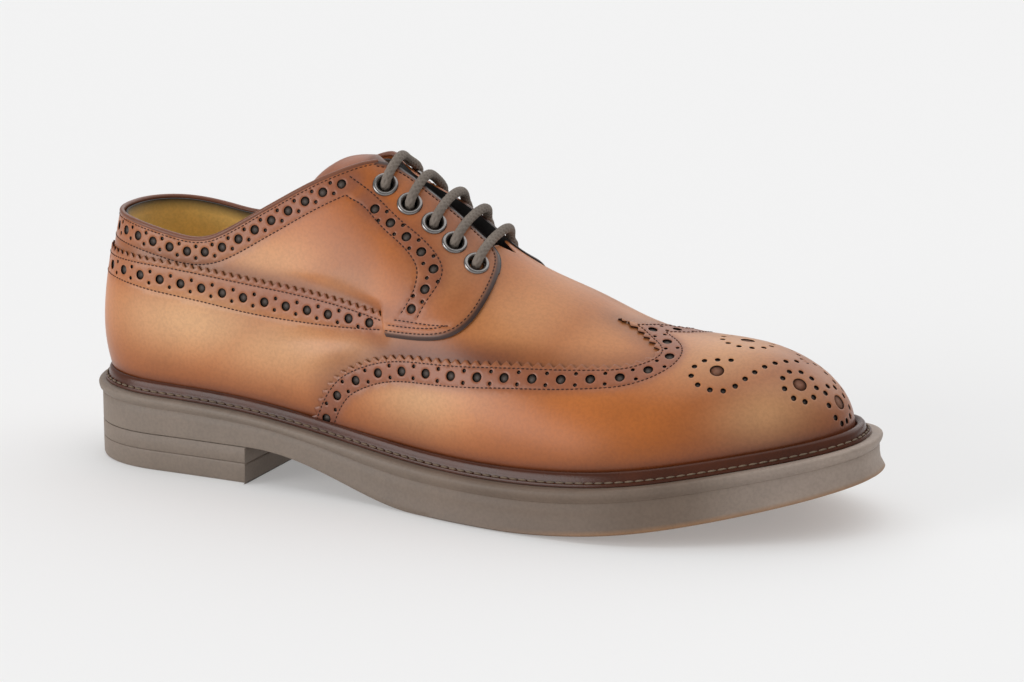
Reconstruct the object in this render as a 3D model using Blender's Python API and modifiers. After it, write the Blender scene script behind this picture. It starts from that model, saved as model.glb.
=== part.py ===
"""Wingtip derby shoe for the right foot, standing empty on its sole.

Metres, +Z up, toe towards +X, the outer side of the foot towards -Y.  Every leather piece is a
sheet laid on one "lasted" surface: a row of cross-sections whose widths, heights and fullness come
from short tables.  The sole, heel, welt and insole are lofts between outlines of the same foot.
"""
import math

import bmesh
import bpy
import numpy as np
from mathutils import Vector

for old in list(bpy.data.objects):
    bpy.data.objects.remove(old, do_unlink=True)

shoe = bpy.data.collections.new("derby_shoe")
bpy.context.scene.collection.children.link(shoe)


def table(columns, rows):
    """A short table as named columns: {"x": values, "lateral": values, ...}."""
    return dict(zip(columns.split(), np.array(rows, float).T))


# Sizes along the shoe: x runs from the back of the heel to the tip of the sole
SOLE_LENGTH = 0.303
LAST_HEEL = 0.0069
LAST_TOE = 0.2914
HEEL_BREAST = 0.077
HEEL_TOP = 0.0136
LIFT_TOP = 0.0076
ARCH_END = 0.148
TOE_SPRING = 0.019
SPRING_START = 0.185

# Thicknesses and clearances
GAP = 0.0003
WALL = 0.0016
VAMP_UNDER, VAMP_THICK = 0.0004, 0.0010
CAP_UNDER, CAP_THICK = 0.0021, 0.0010
FACING_THICK = 0.0012
FOOT_CLEARANCE = 0.0011

SOLE_PLAN = table("x lateral medial", [
    (0.000, 0.0362, 0.0360),
    (0.040, 0.0368, 0.0372),
    (0.077, 0.0392, 0.0360),
    (0.110, 0.0420, 0.0328),
    (0.140, 0.0482, 0.0338),
    (0.170, 0.0550, 0.0395),
    (0.205, 0.0581, 0.0480),
    (0.235, 0.0560, 0.0525),
    (0.265, 0.0480, 0.0530),
    (0.303, 0.0398, 0.0500),
])

LEDGE = table("x height", [
    (0.000, 0.0291),
    (0.040, 0.0278),
    (0.077, 0.0258),
    (0.110, 0.0212),
    (0.140, 0.0178),
    (0.175, 0.0166),
    (0.205, 0.0175),
    (0.235, 0.0207),
    (0.260, 0.0246),
    (0.282, 0.0284),
    (0.303, 0.0325),
])

# The sole's side, from the ground edge (0) up to the ledge (1), and how far each ring stands out
SOLE_EDGE = table("share heel_out toe_out", [
    (0.00, -0.0016, -0.0008),
    (0.05, -0.0008, 0.0010),
    (0.15, -0.0009, 0.0004),
    (0.50, -0.0014, -0.0012),
    (0.73, -0.0014, -0.0012),
    (0.79, -0.0004, -0.0004),
    (0.89, 0.0000, 0.0000),
    (0.97, -0.0004, -0.0004),
    (1.00, -0.0016, -0.0016),
])

LAST_PLAN = table("x lateral medial", [
    (0.0069, 0.0296, 0.0298),
    (0.040, 0.0300, 0.0304),
    (0.077, 0.0319, 0.0290),
    (0.110, 0.0337, 0.0255),
    (0.140, 0.0381, 0.0252),
    (0.170, 0.0444, 0.0298),
    (0.205, 0.0470, 0.0374),
    (0.235, 0.0449, 0.0414),
    (0.262, 0.0380, 0.0418),
    (0.2914, 0.0310, 0.0395),
])

# Cross-sections: ridge height, how far each side swells past its foot, and the shape handles
SECTIONS = table("x ridge lateral_swell medial_swell shoulder crown", [
    (0.0069, 0.1680, 0.0040, 0.0040, 0.30, 0.60),
    (0.0400, 0.1630, 0.0040, 0.0040, 0.30, 0.58),
    (0.0770, 0.1500, 0.0040, 0.0050, 0.32, 0.58),
    (0.1100, 0.1255, 0.0040, 0.0060, 0.38, 0.64),
    (0.1430, 0.1020, 0.0045, 0.0060, 0.46, 0.70),
    (0.1630, 0.0872, 0.0045, 0.0055, 0.48, 0.68),
    (0.1735, 0.0815, 0.0045, 0.0050, 0.48, 0.66),
    (0.1950, 0.0733, 0.0045, 0.0050, 0.48, 0.65),
    (0.2130, 0.0655, 0.0045, 0.0050, 0.48, 0.66),
    (0.2350, 0.0609, 0.0045, 0.0050, 0.50, 0.67),
    (0.2620, 0.0610, 0.0045, 0.0050, 0.50, 0.67),
    (0.2914, 0.0610, 0.0040, 0.0040, 0.50, 0.67),
])

# The back of the heel leans in and out with the height above the ledge
HEEL_CURVE = table("x shift", [
    (0.000, 0.0000),
    (0.012, -0.0036),
    (0.026, -0.0042),
    (0.045, -0.0016),
    (0.061, 0.0016),
    (0.100, 0.0100),
])
HEEL_CURVE_REACH = 0.055

COLLAR = table("x height", [
    (0.0069, 0.0918),
    (0.020, 0.0907),
    (0.029, 0.0894),
    (0.037, 0.0880),
    (0.045, 0.0867),
    (0.0526, 0.0866),
    (0.058, 0.0880),
    (0.063, 0.0904),
    (0.0726, 0.0961),
    (0.082, 0.1018),
    (0.091, 0.1071),
    (0.102, 0.1125),
    (0.112, 0.1162),
    (0.120, 0.1230),
    (0.130, 0.1400),
])

# Half openings of the throat, from the top of the facings to their meeting point
THROAT = table("x lateral medial", [
    (0.090, 0.0096, 0.0086),
    (0.116, 0.0095, 0.0078),
    (0.140, 0.0098, 0.0064),
    (0.158, 0.0096, 0.0048),
    (0.168, 0.0070, 0.0036),
])
THROAT_END = 0.1655
THROAT_ROUND = 0.157

# Top edge of the vamp: the strip along the quarter, then hidden under the facing
VAMP_TOP = table("x height", [
    (0.0069, 0.0780),
    (0.033, 0.0776),
    (0.066, 0.0750),
    (0.099, 0.0718),
    (0.116, 0.0694),
    (0.130, 0.0668),
    (0.140, 0.0680),
    (0.148, 0.0725),
    (0.152, 0.0765),
    (0.155, 0.0810),
    (0.157, 0.0850),
    (0.159, 0.0885),
])

# Wing edge: "across" is -1 at the outer foot of the wall, 0 on the ridge, 1 at the inner foot
WING_LATERAL = table("x across", [
    (0.0995, -1.000),
    (0.1045, -0.900),
    (0.1095, -0.840),
    (0.1178, -0.785),
    (0.1302, -0.730),
    (0.1510, -0.662),
    (0.1776, -0.555),
    (0.1984, -0.477),
    (0.2117, -0.402),
    (0.2238, -0.308),
    (0.2272, -0.235),
    (0.2206, -0.145),
    (0.2137, -0.100),
    (0.2085, -0.078),
])
WING_MEDIAL = table("x across", [
    (0.2085, -0.078),
    (0.2137, -0.045),
    (0.2206, 0.015),
    (0.2272, 0.135),
    (0.2238, 0.225),
    (0.2117, 0.340),
    (0.1984, 0.430),
    (0.1776, 0.530),
    (0.1510, 0.650),
    (0.1302, 0.730),
    (0.1178, 0.785),
    (0.1095, 0.840),
    (0.1045, 0.900),
    (0.0995, 1.000),
])

# Facing: rear edge and front edge from the collar down to the tab, girth is measured from the ridge
FACING = table("rear_x rear_girth front_x front_girth", [
    (0.1075, 0.0262, 0.1165, 0.0105),
    (0.1170, 0.0303, 0.1300, 0.0104),
    (0.1260, 0.0320, 0.1450, 0.0103),
    (0.1350, 0.0337, 0.1600, 0.0102),
    (0.1420, 0.0352, 0.1665, 0.0136),
    (0.1445, 0.0385, 0.1675, 0.0280),
    (0.1425, 0.0460, 0.1625, 0.0436),
    (0.1390, 0.0535, 0.1503, 0.0548),
    (0.1335, 0.0600, 0.1330, 0.0645),
])
MEDIAL_NARROWER = 0.0040

EYELETS = table("x lateral_girth medial_girth", [
    (0.1214, 0.0172, 0.0158),
    (0.1313, 0.0176, 0.0153),
    (0.1410, 0.0181, 0.0149),
    (0.1496, 0.0190, 0.0149),
    (0.1585, 0.0200, 0.0151),
])
EYELET_RING, EYELET_WIRE = 0.0035, 0.0010
LACE_RADIUS = 0.0016
# A bar's path from an eyelet's centre: distance towards the other eyelet, and height
LACE_RISE = table("inward lift", [
    (0.0000, 0.0002),
    (0.0002, 0.0019),
    (0.0011, 0.0034),
    (0.0032, 0.0045),
    (0.0070, 0.0052),
])

TONGUE = table("x half_width", [
    (0.1120, 0.0178),
    (0.1240, 0.0205),
    (0.1450, 0.0195),
    (0.1700, 0.0150),
])
TONGUE_SAG = 0.0040
TONGUE_THICK = 0.0020
# The free end beyond the first row: how far back, how far down, and the width that is left
TONGUE_END = table("back down width", [
    (0.0245, 0.0112, 0.50),
    (0.0232, 0.0098, 0.66),
    (0.0205, 0.0072, 0.80),
    (0.0160, 0.0040, 0.91),
    (0.0105, 0.0014, 0.97),
    (0.0050, 0.0003, 1.00),
])


# Curves and surfaces
def smooth(columns, column, x, against="x"):
    """A natural cubic spline through one column of a table."""
    knots, values = columns[against], columns[column]
    steps = np.diff(knots)
    count = len(knots)
    matrix = np.eye(count)
    bends = np.zeros(count)
    for i in range(1, count - 1):
        matrix[i, i - 1:i + 2] = steps[i - 1], 2 * (steps[i - 1] + steps[i]), steps[i]
        rise_after = (values[i + 1] - values[i]) / steps[i]
        rise_before = (values[i] - values[i - 1]) / steps[i - 1]
        bends[i] = 6 * (rise_after - rise_before)
    bends = np.linalg.solve(matrix, bends)
    x = np.clip(x, knots[0], knots[-1])
    i = np.clip(np.searchsorted(knots, x) - 1, 0, count - 2)
    left, right, width = x - knots[i], knots[i + 1] - x, steps[i]
    curve = (bends[i] * right ** 3 + bends[i + 1] * left ** 3) / (6 * width)
    curve = curve + (values[i] / width - bends[i] * width / 6) * right
    return curve + (values[i + 1] / width - bends[i + 1] * width / 6) * left


def along(columns, names, share):
    """Points a share of the way along a table read as a curve, for edges that double back."""
    rows = np.stack([columns[name] for name in names], -1)
    scaled = rows / np.ptp(rows, axis=0)
    lengths = np.linalg.norm(np.diff(scaled, axis=0), axis=1)
    path = dict(columns, step=np.concatenate([[0], np.cumsum(lengths)]) / lengths.sum())
    return [smooth(path, name, share, against="step") for name in names]


def rounding(x, start, end, power):
    """1 before start, falling to 0 at the end as a superellipse."""
    share = np.clip((x - start) / (end - start), 0, 1)
    return (1 - share ** power) ** (1 / power)


def ramp(value, low, high):
    share = np.clip((value - low) / (high - low), 0, 1)
    return share * share * (3 - 2 * share)


def cosine_steps(count):
    """0 to 1, close together at both ends."""
    return (1 - np.cos(np.linspace(0, math.pi, count))) / 2


def sole_half_width(side, x):
    width = smooth(SOLE_PLAN, "lateral" if side < 0 else "medial", x)
    return width * rounding(x, 0.038, 0, 2.3) * rounding(x, 0.213, SOLE_LENGTH, 2.25)


def ledge(x):
    return smooth(LEDGE, "height", x)


def underside(x):
    arch = HEEL_TOP * (1 - ramp(x, HEEL_BREAST, ARCH_END))
    spring = np.clip((x - SPRING_START) / (SOLE_LENGTH - SPRING_START), 0, 1)
    return arch + TOE_SPRING * spring ** 1.7


def lasted(x, side, rise):
    """The outside of the upper's wall: rise 0 at its foot, 1 on the ridge over the instep."""
    x, side, rise = np.broadcast_arrays(*(np.asarray(v, float) for v in (x, side, rise)))
    outer = side < 0
    foot = np.where(outer, smooth(LAST_PLAN, "lateral", x), smooth(LAST_PLAN, "medial", x))
    swell = np.where(outer, smooth(SECTIONS, "lateral_swell", x),
                     smooth(SECTIONS, "medial_swell", x))
    ends = rounding(x, 0.040, LAST_HEEL, 2.3) * rounding(x, 0.205, LAST_TOE, 2.25)
    base = ledge(x) + FOOT_CLEARANCE
    height = (smooth(SECTIONS, "ridge", x) - base) * rounding(x, 0.240, LAST_TOE, 2.3)
    low, high = 1 - rise, rise
    out = low ** 3 * foot + 3 * low ** 2 * high * (foot + swell)
    out = (out + 3 * low * high ** 2 * smooth(SECTIONS, "crown", x) * foot) * ends
    up = 3 * low ** 2 * high * smooth(SECTIONS, "shoulder", x) + 3 * low * high ** 2 + high ** 3
    up = up * height
    heel_share = np.clip(1 - (x - LAST_HEEL) / HEEL_CURVE_REACH, 0, 1) ** 2
    lean = smooth(HEEL_CURVE, "shift", up) * heel_share
    return np.stack([x + lean, side * out, base + up], -1)


def on_wall(x, side, rise, layer):
    """A point this far outside the lasted surface, along its normal."""
    x, side, rise, layer = np.broadcast_arrays(
        *(np.asarray(v, float) for v in (x, side, rise, layer)))
    step = 0.0002
    near = np.clip(x, LAST_HEEL + 2 * step, LAST_TOE - 2 * step)
    level = np.clip(rise, 0.001, 0.999)
    ahead = lasted(near + step, side, level) - lasted(near - step, side, level)
    upward = lasted(near, side, level + 0.001) - lasted(near, side, level - 0.001)
    normal = np.cross(ahead, upward) * -np.sign(side)[..., None]
    normal[..., 1] = np.where(np.abs(x - LAST_HEEL) < step, 0, normal[..., 1])
    normal = normal / np.linalg.norm(normal, axis=-1, keepdims=True)
    return lasted(x, side, rise) + normal * layer[..., None]


RISES = np.linspace(0, 1, 121)


def rise_at_height(x, side, height):
    """Where the section at x passes a height."""
    return float(np.interp(height, lasted(x, side, RISES)[:, 2], RISES))


def rise_at_width(x, side, half_width):
    """Where the section at x, coming down from its ridge, reaches a half width."""
    out = np.abs(lasted(x, side, RISES)[:, 1])
    top = RISES > 0.35
    return float(np.interp(-half_width, -out[top], RISES[top]))


def rise_at_girth(x, side, girth):
    """Where the section at x lies this far down from the ridge, measured on the leather."""
    points = lasted(x, side, RISES)
    steps = np.linalg.norm(np.diff(points, axis=0), axis=1)
    from_ridge = np.concatenate([np.cumsum(steps[::-1])[::-1], [0]])
    return float(np.interp(-girth, -from_ridge, RISES))


def throat_rise(x, side):
    """Top of the wall over the instep: the edge of the lacing gap, closing at its front end."""
    if x >= THROAT_END:
        return 1.0
    half = float(smooth(THROAT, "lateral" if side < 0 else "medial", x))
    half *= float(rounding(x, THROAT_ROUND, THROAT_END, 2.0))
    return rise_at_width(x, side, half)


def collar_rise(x, side):
    height = float(smooth(COLLAR, "height", x))
    return min(rise_at_height(x, side, height), throat_rise(x, side))


def vamp_rise(x, side):
    if x >= 0.159:
        return throat_rise(x, side)
    height = float(smooth(VAMP_TOP, "height", x))
    return min(rise_at_height(x, side, height), throat_rise(x, side))


# Objects
def material(name, colour, roughness):
    made = bpy.data.materials.new(name)
    made.use_nodes = True
    shader = made.node_tree.nodes["Principled BSDF"]
    shader.inputs["Base Color"].default_value = (*colour, 1)
    shader.inputs["Roughness"].default_value = roughness
    return made


TAN = material("tan_leather", (0.42, 0.17, 0.06), 0.40)
BURNISHED = material("burnished_leather", (0.27, 0.09, 0.04), 0.40)
DARK_LEATHER = material("dark_leather", (0.10, 0.035, 0.02), 0.35)
LINING = material("suede_lining", (0.38, 0.26, 0.10), 0.85)
RUBBER = material("sole_rubber", (0.17, 0.13, 0.10), 0.60)
METAL = material("gunmetal", (0.10, 0.10, 0.11), 0.30)
CORD = material("waxed_cord", (0.12, 0.10, 0.08), 0.65)


def moved(points):
    """From the shoe's working axes to the object's frame, whose origin is under its middle."""
    return np.asarray(points, float) - np.array([*SOLE_CENTRE, 0])


def add_mesh(name, points, faces, look):
    mesh = bpy.data.meshes.new(name)
    mesh.from_pydata(moved(points).tolist(), [], faces)
    shape = bmesh.new()
    shape.from_mesh(mesh)
    bmesh.ops.remove_doubles(shape, verts=shape.verts, dist=2e-6)
    bmesh.ops.dissolve_degenerate(shape, edges=shape.edges, dist=1e-6)
    shape.to_mesh(mesh)
    shape.free()
    mesh.shade_smooth()
    mesh.materials.append(look)
    made = bpy.data.objects.new(name, mesh)
    shoe.objects.link(made)
    return made


def thicken(sheet, thickness, outward):
    wall = sheet.modifiers.new("thickness", "SOLIDIFY")
    wall.thickness = thickness
    wall.offset = 1 if outward else -1
    wall.use_quality_normals = True
    return sheet


def grid_faces(rows, columns, start, flipped):
    faces = []
    for i in range(rows - 1):
        for j in range(columns - 1):
            a = start + i * columns + j
            b = a + columns
            for face in ([a, b, b + 1], [a, b + 1, a + 1]):
                faces.append(face[::-1] if flipped else face)
    return faces


def add_sheets(name, grids, look):
    """One open sheet from grids of points (rows run along the shoe, columns up the wall)."""
    points, faces = [], []
    for grid, flipped in grids:
        rows, columns = grid.shape[:2]
        faces += grid_faces(rows, columns, len(points), flipped)
        points += grid.reshape(-1, 3).tolist()
    return add_mesh(name, points, faces, look)


def add_loft(name, rings, look):
    """A closed solid through rings of points, each ring the outer side then the inner side."""
    count = len(rings[0])
    half = count // 2
    points = np.concatenate(rings)
    faces = []
    for level in range(len(rings) - 1):
        for i in range(count):
            a, b = level * count + i, level * count + (i + 1) % count
            faces.append([a, b, b + count, a + count])
    top = (len(rings) - 1) * count
    for i in range(half - 1):
        strip = [i, count - 1 - i, count - 2 - i, i + 1]
        faces.append(strip)
        faces.append([top + k for k in strip[::-1]])
    return add_mesh(name, points, faces, look)


def add_tube(name, path, radius, look):
    curve = bpy.data.curves.new(name, "CURVE")
    curve.dimensions = "3D"
    curve.bevel_depth = radius
    curve.bevel_resolution = 2
    curve.use_fill_caps = True
    line = curve.splines.new("POLY")
    line.points.add(len(path) - 1)
    for point, place in zip(line.points, moved(path)):
        point.co = (*place, 1)
    curve.materials.append(look)
    made = bpy.data.objects.new(name, curve)
    shoe.objects.link(made)
    return made


# Sole, heel, welt and insole
def sole_ring(xs, outs, height_of):
    """The outline at these stations, pushed out along its normal, at a height for each x."""
    sides = []
    for side in (-1, 1):
        half = side * sole_half_width(side, xs)
        sides.append(np.stack([xs, half], -1))
    loop = np.concatenate([sides[0], sides[1][::-1]])
    tangent = np.roll(loop, -1, axis=0) - np.roll(loop, 1, axis=0)
    tangent /= np.linalg.norm(tangent, axis=1, keepdims=True)
    normal = np.stack([tangent[:, 1], -tangent[:, 0]], -1)
    loop = loop + normal * np.concatenate([outs, outs[::-1]])[:, None]
    return np.column_stack([loop, height_of(np.clip(loop[:, 0], 0, SOLE_LENGTH))])


sole_x = SOLE_LENGTH * cosine_steps(33)
toward_toe = ramp(sole_x, 0.09, 0.20)
rings = []
for share, heel_out, toe_out in zip(*SOLE_EDGE.values()):
    outs = heel_out + (toe_out - heel_out) * toward_toe
    rings.append(sole_ring(
        sole_x, outs, lambda x, up=share: underside(x) + up * (ledge(x) - underside(x))))
sole_points = np.concatenate(rings)
SOLE_CENTRE = (sole_points.min(axis=0)[:2] + sole_points.max(axis=0)[:2]) / 2
add_loft("outsole", rings, RUBBER)

heel_x = HEEL_BREAST * (1 - np.cos(np.linspace(0, math.pi / 2, 14)))
HEEL_LEVELS = table("level out", [
    (0.0000, -0.0024),
    (0.0010, -0.0016),
    (LIFT_TOP, -0.0015),
])
lift_rings = [sole_ring(heel_x, np.full_like(heel_x, out), lambda x, z=level: x * 0 + z)
              for level, out in zip(*HEEL_LEVELS.values())]
add_loft("heel_lift", lift_rings, RUBBER)
block_rings = [sole_ring(heel_x, np.full_like(heel_x, -0.0015), lambda x, z=level: x * 0 + z)
               for level in (LIFT_TOP + GAP, HEEL_TOP - GAP)]
add_loft("heel_block", block_rings, RUBBER)

last_x = LAST_HEEL + (LAST_TOE - LAST_HEEL) * cosine_steps(33)


def foot_ring(layer):
    """The foot of the wall all round, this far outside the lasted surface."""
    sides = [on_wall(last_x, side, 0.0, layer) for side in (-1, 1)]
    for points in sides:
        points[[0, -1], 1] = 0
    return np.concatenate([sides[0], sides[1][::-1]])


insole_path = foot_ring(np.full_like(last_x, -WALL - 0.0006))
insole_ledge = np.concatenate([ledge(last_x), ledge(last_x)[::-1]])
insole_rings = []
for height in (GAP, 0.0026):
    ring = insole_path.copy()
    ring[:, 2] = insole_ledge + height
    insole_rings.append(ring)
add_loft("insole", insole_rings, LINING)

# The welt's section: share of the way from the wall out to the lip, and height over the ledge
WELT_SECTION = table("share height", [
    (0.00, 0.0003),
    (1.00, 0.0003),
    (1.00, 0.0011),
    (0.66, 0.0013),
    (0.60, 0.0027),
    (0.46, 0.0035),
    (0.26, 0.0036),
    (0.10, 0.0030),
])
WELT_INSET_HEEL, WELT_INSET_FRONT = 0.0026, 0.0040
welt_clear = VAMP_UNDER + VAMP_THICK + 0.0007
cap_clear = CAP_UNDER + CAP_THICK + 0.0007
heel_clear = 0.0013 * (1 - ramp(last_x, 0.010, 0.035))
inner_path = foot_ring(
    welt_clear + heel_clear + (cap_clear - welt_clear) * ramp(last_x, 0.078, 0.094))
inset = WELT_INSET_HEEL + (WELT_INSET_FRONT - WELT_INSET_HEEL) * ramp(sole_x, 0.03, 0.13)
outer_path = sole_ring(sole_x, -inset, ledge)
welt_points, welt_faces = [], []
corners = len(WELT_SECTION["share"])
stations = [i for i in range(len(inner_path)) if i not in (len(last_x), len(inner_path) - 1)]
for i in stations:
    for share, height in zip(*WELT_SECTION.values()):
        place = inner_path[i] + (outer_path[i] - inner_path[i]) * share
        place[2] = ledge(place[0]) + height
        welt_points.append(place)
for i in range(len(stations)):
    for j in range(corners):
        a, b = i * corners + j, i * corners + (j + 1) % corners
        c = (i + 1) % len(stations) * corners
        welt_faces.append([a, c + j, c + (j + 1) % corners, b])
add_mesh("welt", welt_points, welt_faces, DARK_LEATHER)


# Upper and vamp: sheets open along the collar and the throat, with columns that line up
def cup_grids(stations, columns, layer, top_of):
    grids = []
    for side in (-1, 1):
        rows = []
        for x in stations:
            top = top_of(x, side)
            rises = collar_rise(x, side) * np.linspace(0, 1, columns)
            rises = np.where(rises > top - 0.03, top, rises)
            row = on_wall(x, side, rises, layer)
            if x in (stations[0], stations[-1]):
                row[:, 1] = 0
            row[rises == 1.0, 1] = 0
            rows.append(row)
        grids.append((np.array(rows), side > 0))
    return grids


def with_stations(count, extra):
    xs = LAST_HEEL + (LAST_TOE - LAST_HEEL) * cosine_steps(count)
    keep = [x for x in xs if min(abs(x - e) for e in extra) > 0.0015]
    return sorted(keep + extra)


wall_x = with_stations(
    31, [0.112, 0.117, 0.131, 0.148, 0.152, 0.155, 0.157, 0.159, 0.163, THROAT_END])
WALL_COLUMNS = 9
upper = add_sheets("upper", cup_grids(wall_x, WALL_COLUMNS, 0.0, collar_rise), TAN)
thicken(upper, WALL, outward=False)
vamp = add_sheets("vamp", cup_grids(wall_x, WALL_COLUMNS, VAMP_UNDER, vamp_rise), TAN)
thicken(vamp, VAMP_THICK, outward=True)


# Wing cap: every column starts on the wing's edge and runs to the toe
def wing_grid(rows, columns):
    across = []
    for edge in (WING_LATERAL, WING_MEDIAL):
        x, place = along(edge, ("x", "across"), np.linspace(0, 1, columns))
        across += list(zip(x, place))[len(across) and 1:]
    grid = []
    for start, place in across:
        x = start + (LAST_TOE - start) * np.sin(np.linspace(0, math.pi / 2, rows))
        side = -1 if place < 0 else 1
        rise = min(1.0, 1 - abs(float(place)))
        column = on_wall(x, side, rise, CAP_UNDER)
        column[-1, 1] = 0
        grid.append(column)
    grid = np.array(grid).transpose(1, 0, 2)
    grid[-1] = grid[-1].mean(axis=0)
    return grid


cap = add_sheets("wing_cap", [(wing_grid(13, 15), False)], BURNISHED)
thicken(cap, CAP_THICK, outward=True)


# Facings: ruled between their rear and front edges, stepping up where the vamp runs under them
def facing_layer(x, side, rise):
    height = float(lasted(x, side, rise)[2])
    vamp_edge = 0.2 if x > 0.157 else float(smooth(VAMP_TOP, "height", x))
    over = float(ramp(vamp_edge + 0.0110 - height, 0.0, 0.006))
    return VAMP_UNDER + (CAP_UNDER - VAMP_UNDER) * over


def facing_grid(side, rows, columns):
    steps = np.linspace(0, 1, rows)
    table_steps = dict(FACING, step=np.linspace(0, 1, len(FACING["rear_x"])))
    shift = MEDIAL_NARROWER if side > 0 else 0.0
    grid = []
    for step in steps:
        rear_x, rear_g, front_x, front_g = (
            float(smooth(table_steps, name, step, against="step")) for name in FACING)
        row = []
        for share in np.linspace(0, 1, columns):
            x = rear_x + (front_x - rear_x) * share
            girth = rear_g + (front_g - rear_g) * share - shift
            rise = rise_at_girth(x, side, girth)
            row.append(on_wall(x, side, rise, facing_layer(x, side, rise)))
        grid.append(row)
    return np.array(grid)


for side, name in ((-1, "facing_lateral"), (1, "facing_medial")):
    facing = add_sheets(name, [(facing_grid(side, 14, 8), side > 0)], BURNISHED)
    thicken(facing, FACING_THICK, outward=True)


# Tongue: follows the inside of the wall, and its free end leans back over the opening
def tongue_row(x, columns):
    half = float(smooth(TONGUE, "half_width", x))
    row = []
    for y in np.linspace(-half, half, columns):
        side = -1 if y < 0 else 1
        place = on_wall(x, side, rise_at_width(x, side, abs(y)), -WALL - 0.0009)
        place[2] -= TONGUE_SAG * (1 - ramp(x, 0.112, 0.145)) * (1 - (y / half) ** 2)
        row.append(place)
    return np.array(row)


def tongue_grid(rows, columns):
    free_end = tongue_row(TONGUE["x"][0], columns)
    grid = []
    for back, down, width in zip(*TONGUE_END.values()):
        grid.append(free_end * np.array([1, width, 1]) - np.array([back, 0, down]))
    for x in np.linspace(TONGUE["x"][0], TONGUE["x"][-1], rows):
        grid.append(tongue_row(x, columns))
    return np.array(grid)


tongue = add_sheets("tongue", [(tongue_grid(9, 9), False)], TAN)
thicken(tongue, TONGUE_THICK, outward=False)

# Eyelets and the bars of the lace over the throat
RING_LAYER = FACING_THICK + EYELET_WIRE + GAP
for number in range(len(EYELETS["x"])):
    x = EYELETS["x"][number]
    ends = []
    for side, name in ((-1, "lateral"), (1, "medial")):
        rise = rise_at_girth(x, side, EYELETS[name + "_girth"][number])
        reach = EYELET_RING + EYELET_WIRE
        seat = max(facing_layer(x + step, side, rise) for step in (-reach, 0.0, reach))
        place = on_wall(x, side, rise, seat + RING_LAYER)
        normal = place - on_wall(x, side, rise, 0.0)
        normal /= np.linalg.norm(normal)
        bpy.ops.mesh.primitive_torus_add(
            major_radius=EYELET_RING, minor_radius=EYELET_WIRE,
            major_segments=12, minor_segments=4, location=Vector(moved(place)),
            rotation=Vector(normal).to_track_quat("Z", "Y").to_euler())
        ring = bpy.context.object
        ring.name = f"eyelet_{name}_{number + 1}"
        ring.data.name = ring.name
        ring.data.materials.append(METAL)
        for holder in list(ring.users_collection):
            holder.objects.unlink(ring)
        shoe.objects.link(ring)
        ends.append((place, normal))
    (start, start_normal), (end, end_normal) = ends
    inward = (end - start) / np.linalg.norm(end - start)
    halves = []
    for place, normal, way in ((start, start_normal, inward), (end, end_normal, -inward)):
        way = way - normal * np.dot(way, normal)
        way /= np.linalg.norm(way)
        halves.append([place + way * far + normal * lift
                       for far, lift in zip(*LACE_RISE.values())])
    middle = (halves[0][-1] + halves[1][-1]) / 2 + (start_normal + end_normal) / 2 * 0.0020
    path = halves[0] + [middle] + halves[1][::-1]
    add_tube(f"lace_bar_{number + 1}", path, LACE_RADIUS, CORD)
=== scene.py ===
# %% [markdown]
# # A wingtip derby shoe, cut, punched, lasted and stitched
# A leather shoe is made from flat panels that are punched and trimmed on a table, sewn, and then
# pulled over a last. This lesson does the same: every panel is cut in a flat paper pattern, with
# real holes and saw-tooth edges, and is then laid on the curved last with its own thickness.
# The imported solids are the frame: each finer piece stands where its solid stands.

# %% Load the frame
import math

import bpy
import numpy as np
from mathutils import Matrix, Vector, geometry, kdtree


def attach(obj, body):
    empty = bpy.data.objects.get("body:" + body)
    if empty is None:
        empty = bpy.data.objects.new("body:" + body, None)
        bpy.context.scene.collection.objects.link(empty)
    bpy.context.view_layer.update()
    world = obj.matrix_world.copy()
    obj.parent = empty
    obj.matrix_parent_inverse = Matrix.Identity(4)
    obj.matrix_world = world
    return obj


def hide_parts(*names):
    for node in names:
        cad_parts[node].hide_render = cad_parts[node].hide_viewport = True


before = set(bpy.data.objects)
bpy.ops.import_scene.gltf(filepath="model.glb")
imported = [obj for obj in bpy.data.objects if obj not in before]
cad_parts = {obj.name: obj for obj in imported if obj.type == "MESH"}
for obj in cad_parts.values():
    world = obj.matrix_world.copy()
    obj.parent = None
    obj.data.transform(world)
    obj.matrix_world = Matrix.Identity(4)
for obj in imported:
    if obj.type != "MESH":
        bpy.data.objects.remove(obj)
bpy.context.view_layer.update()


# %% [markdown]
# ## Camera
# The photograph was taken with a long lens from the outer front, a little above the shoe. The
# camera's place was fitted once to the sole and the eyelets, so it is simply set here. A long lens
# keeps the toe from swelling.

# %% Camera
CENTRE = np.array([0.151998, -0.003320, 0.0])
AZIMUTH, ELEVATION = math.radians(23.76), math.radians(13.56)
CAMERA_DISTANCE = 1.38896
LENS_PIXELS, IMAGE_WIDTH, SENSOR_WIDTH = 3836.04, 1024, 36.0
AIM = np.array([0.1515, 0.0, 0.05])
SHIFT_RIGHT, SHIFT_UP = 0.01185, 0.00247

towards_camera = np.array([math.sin(AZIMUTH) * math.cos(ELEVATION),
                           -math.cos(AZIMUTH) * math.cos(ELEVATION), math.sin(ELEVATION)])
to_right = np.array([math.cos(AZIMUTH), math.sin(AZIMUTH), 0.0])
upward = np.cross(towards_camera, to_right)
eye = AIM + to_right * SHIFT_RIGHT + upward * SHIFT_UP + towards_camera * CAMERA_DISTANCE - CENTRE

bpy.ops.object.select_all(action="DESELECT")
bpy.ops.object.camera_add(location=eye)
camera = bpy.context.object
camera.name = "studio_camera"
camera.rotation_euler = Vector(-towards_camera).to_track_quat("-Z", "Y").to_euler()
camera.data.sensor_width = SENSOR_WIDTH
camera.data.lens = LENS_PIXELS * SENSOR_WIDTH / IMAGE_WIDTH
camera.data.clip_start = 0.05
bpy.context.scene.camera = camera
print("lens", round(camera.data.lens, 2), "mm")


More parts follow.
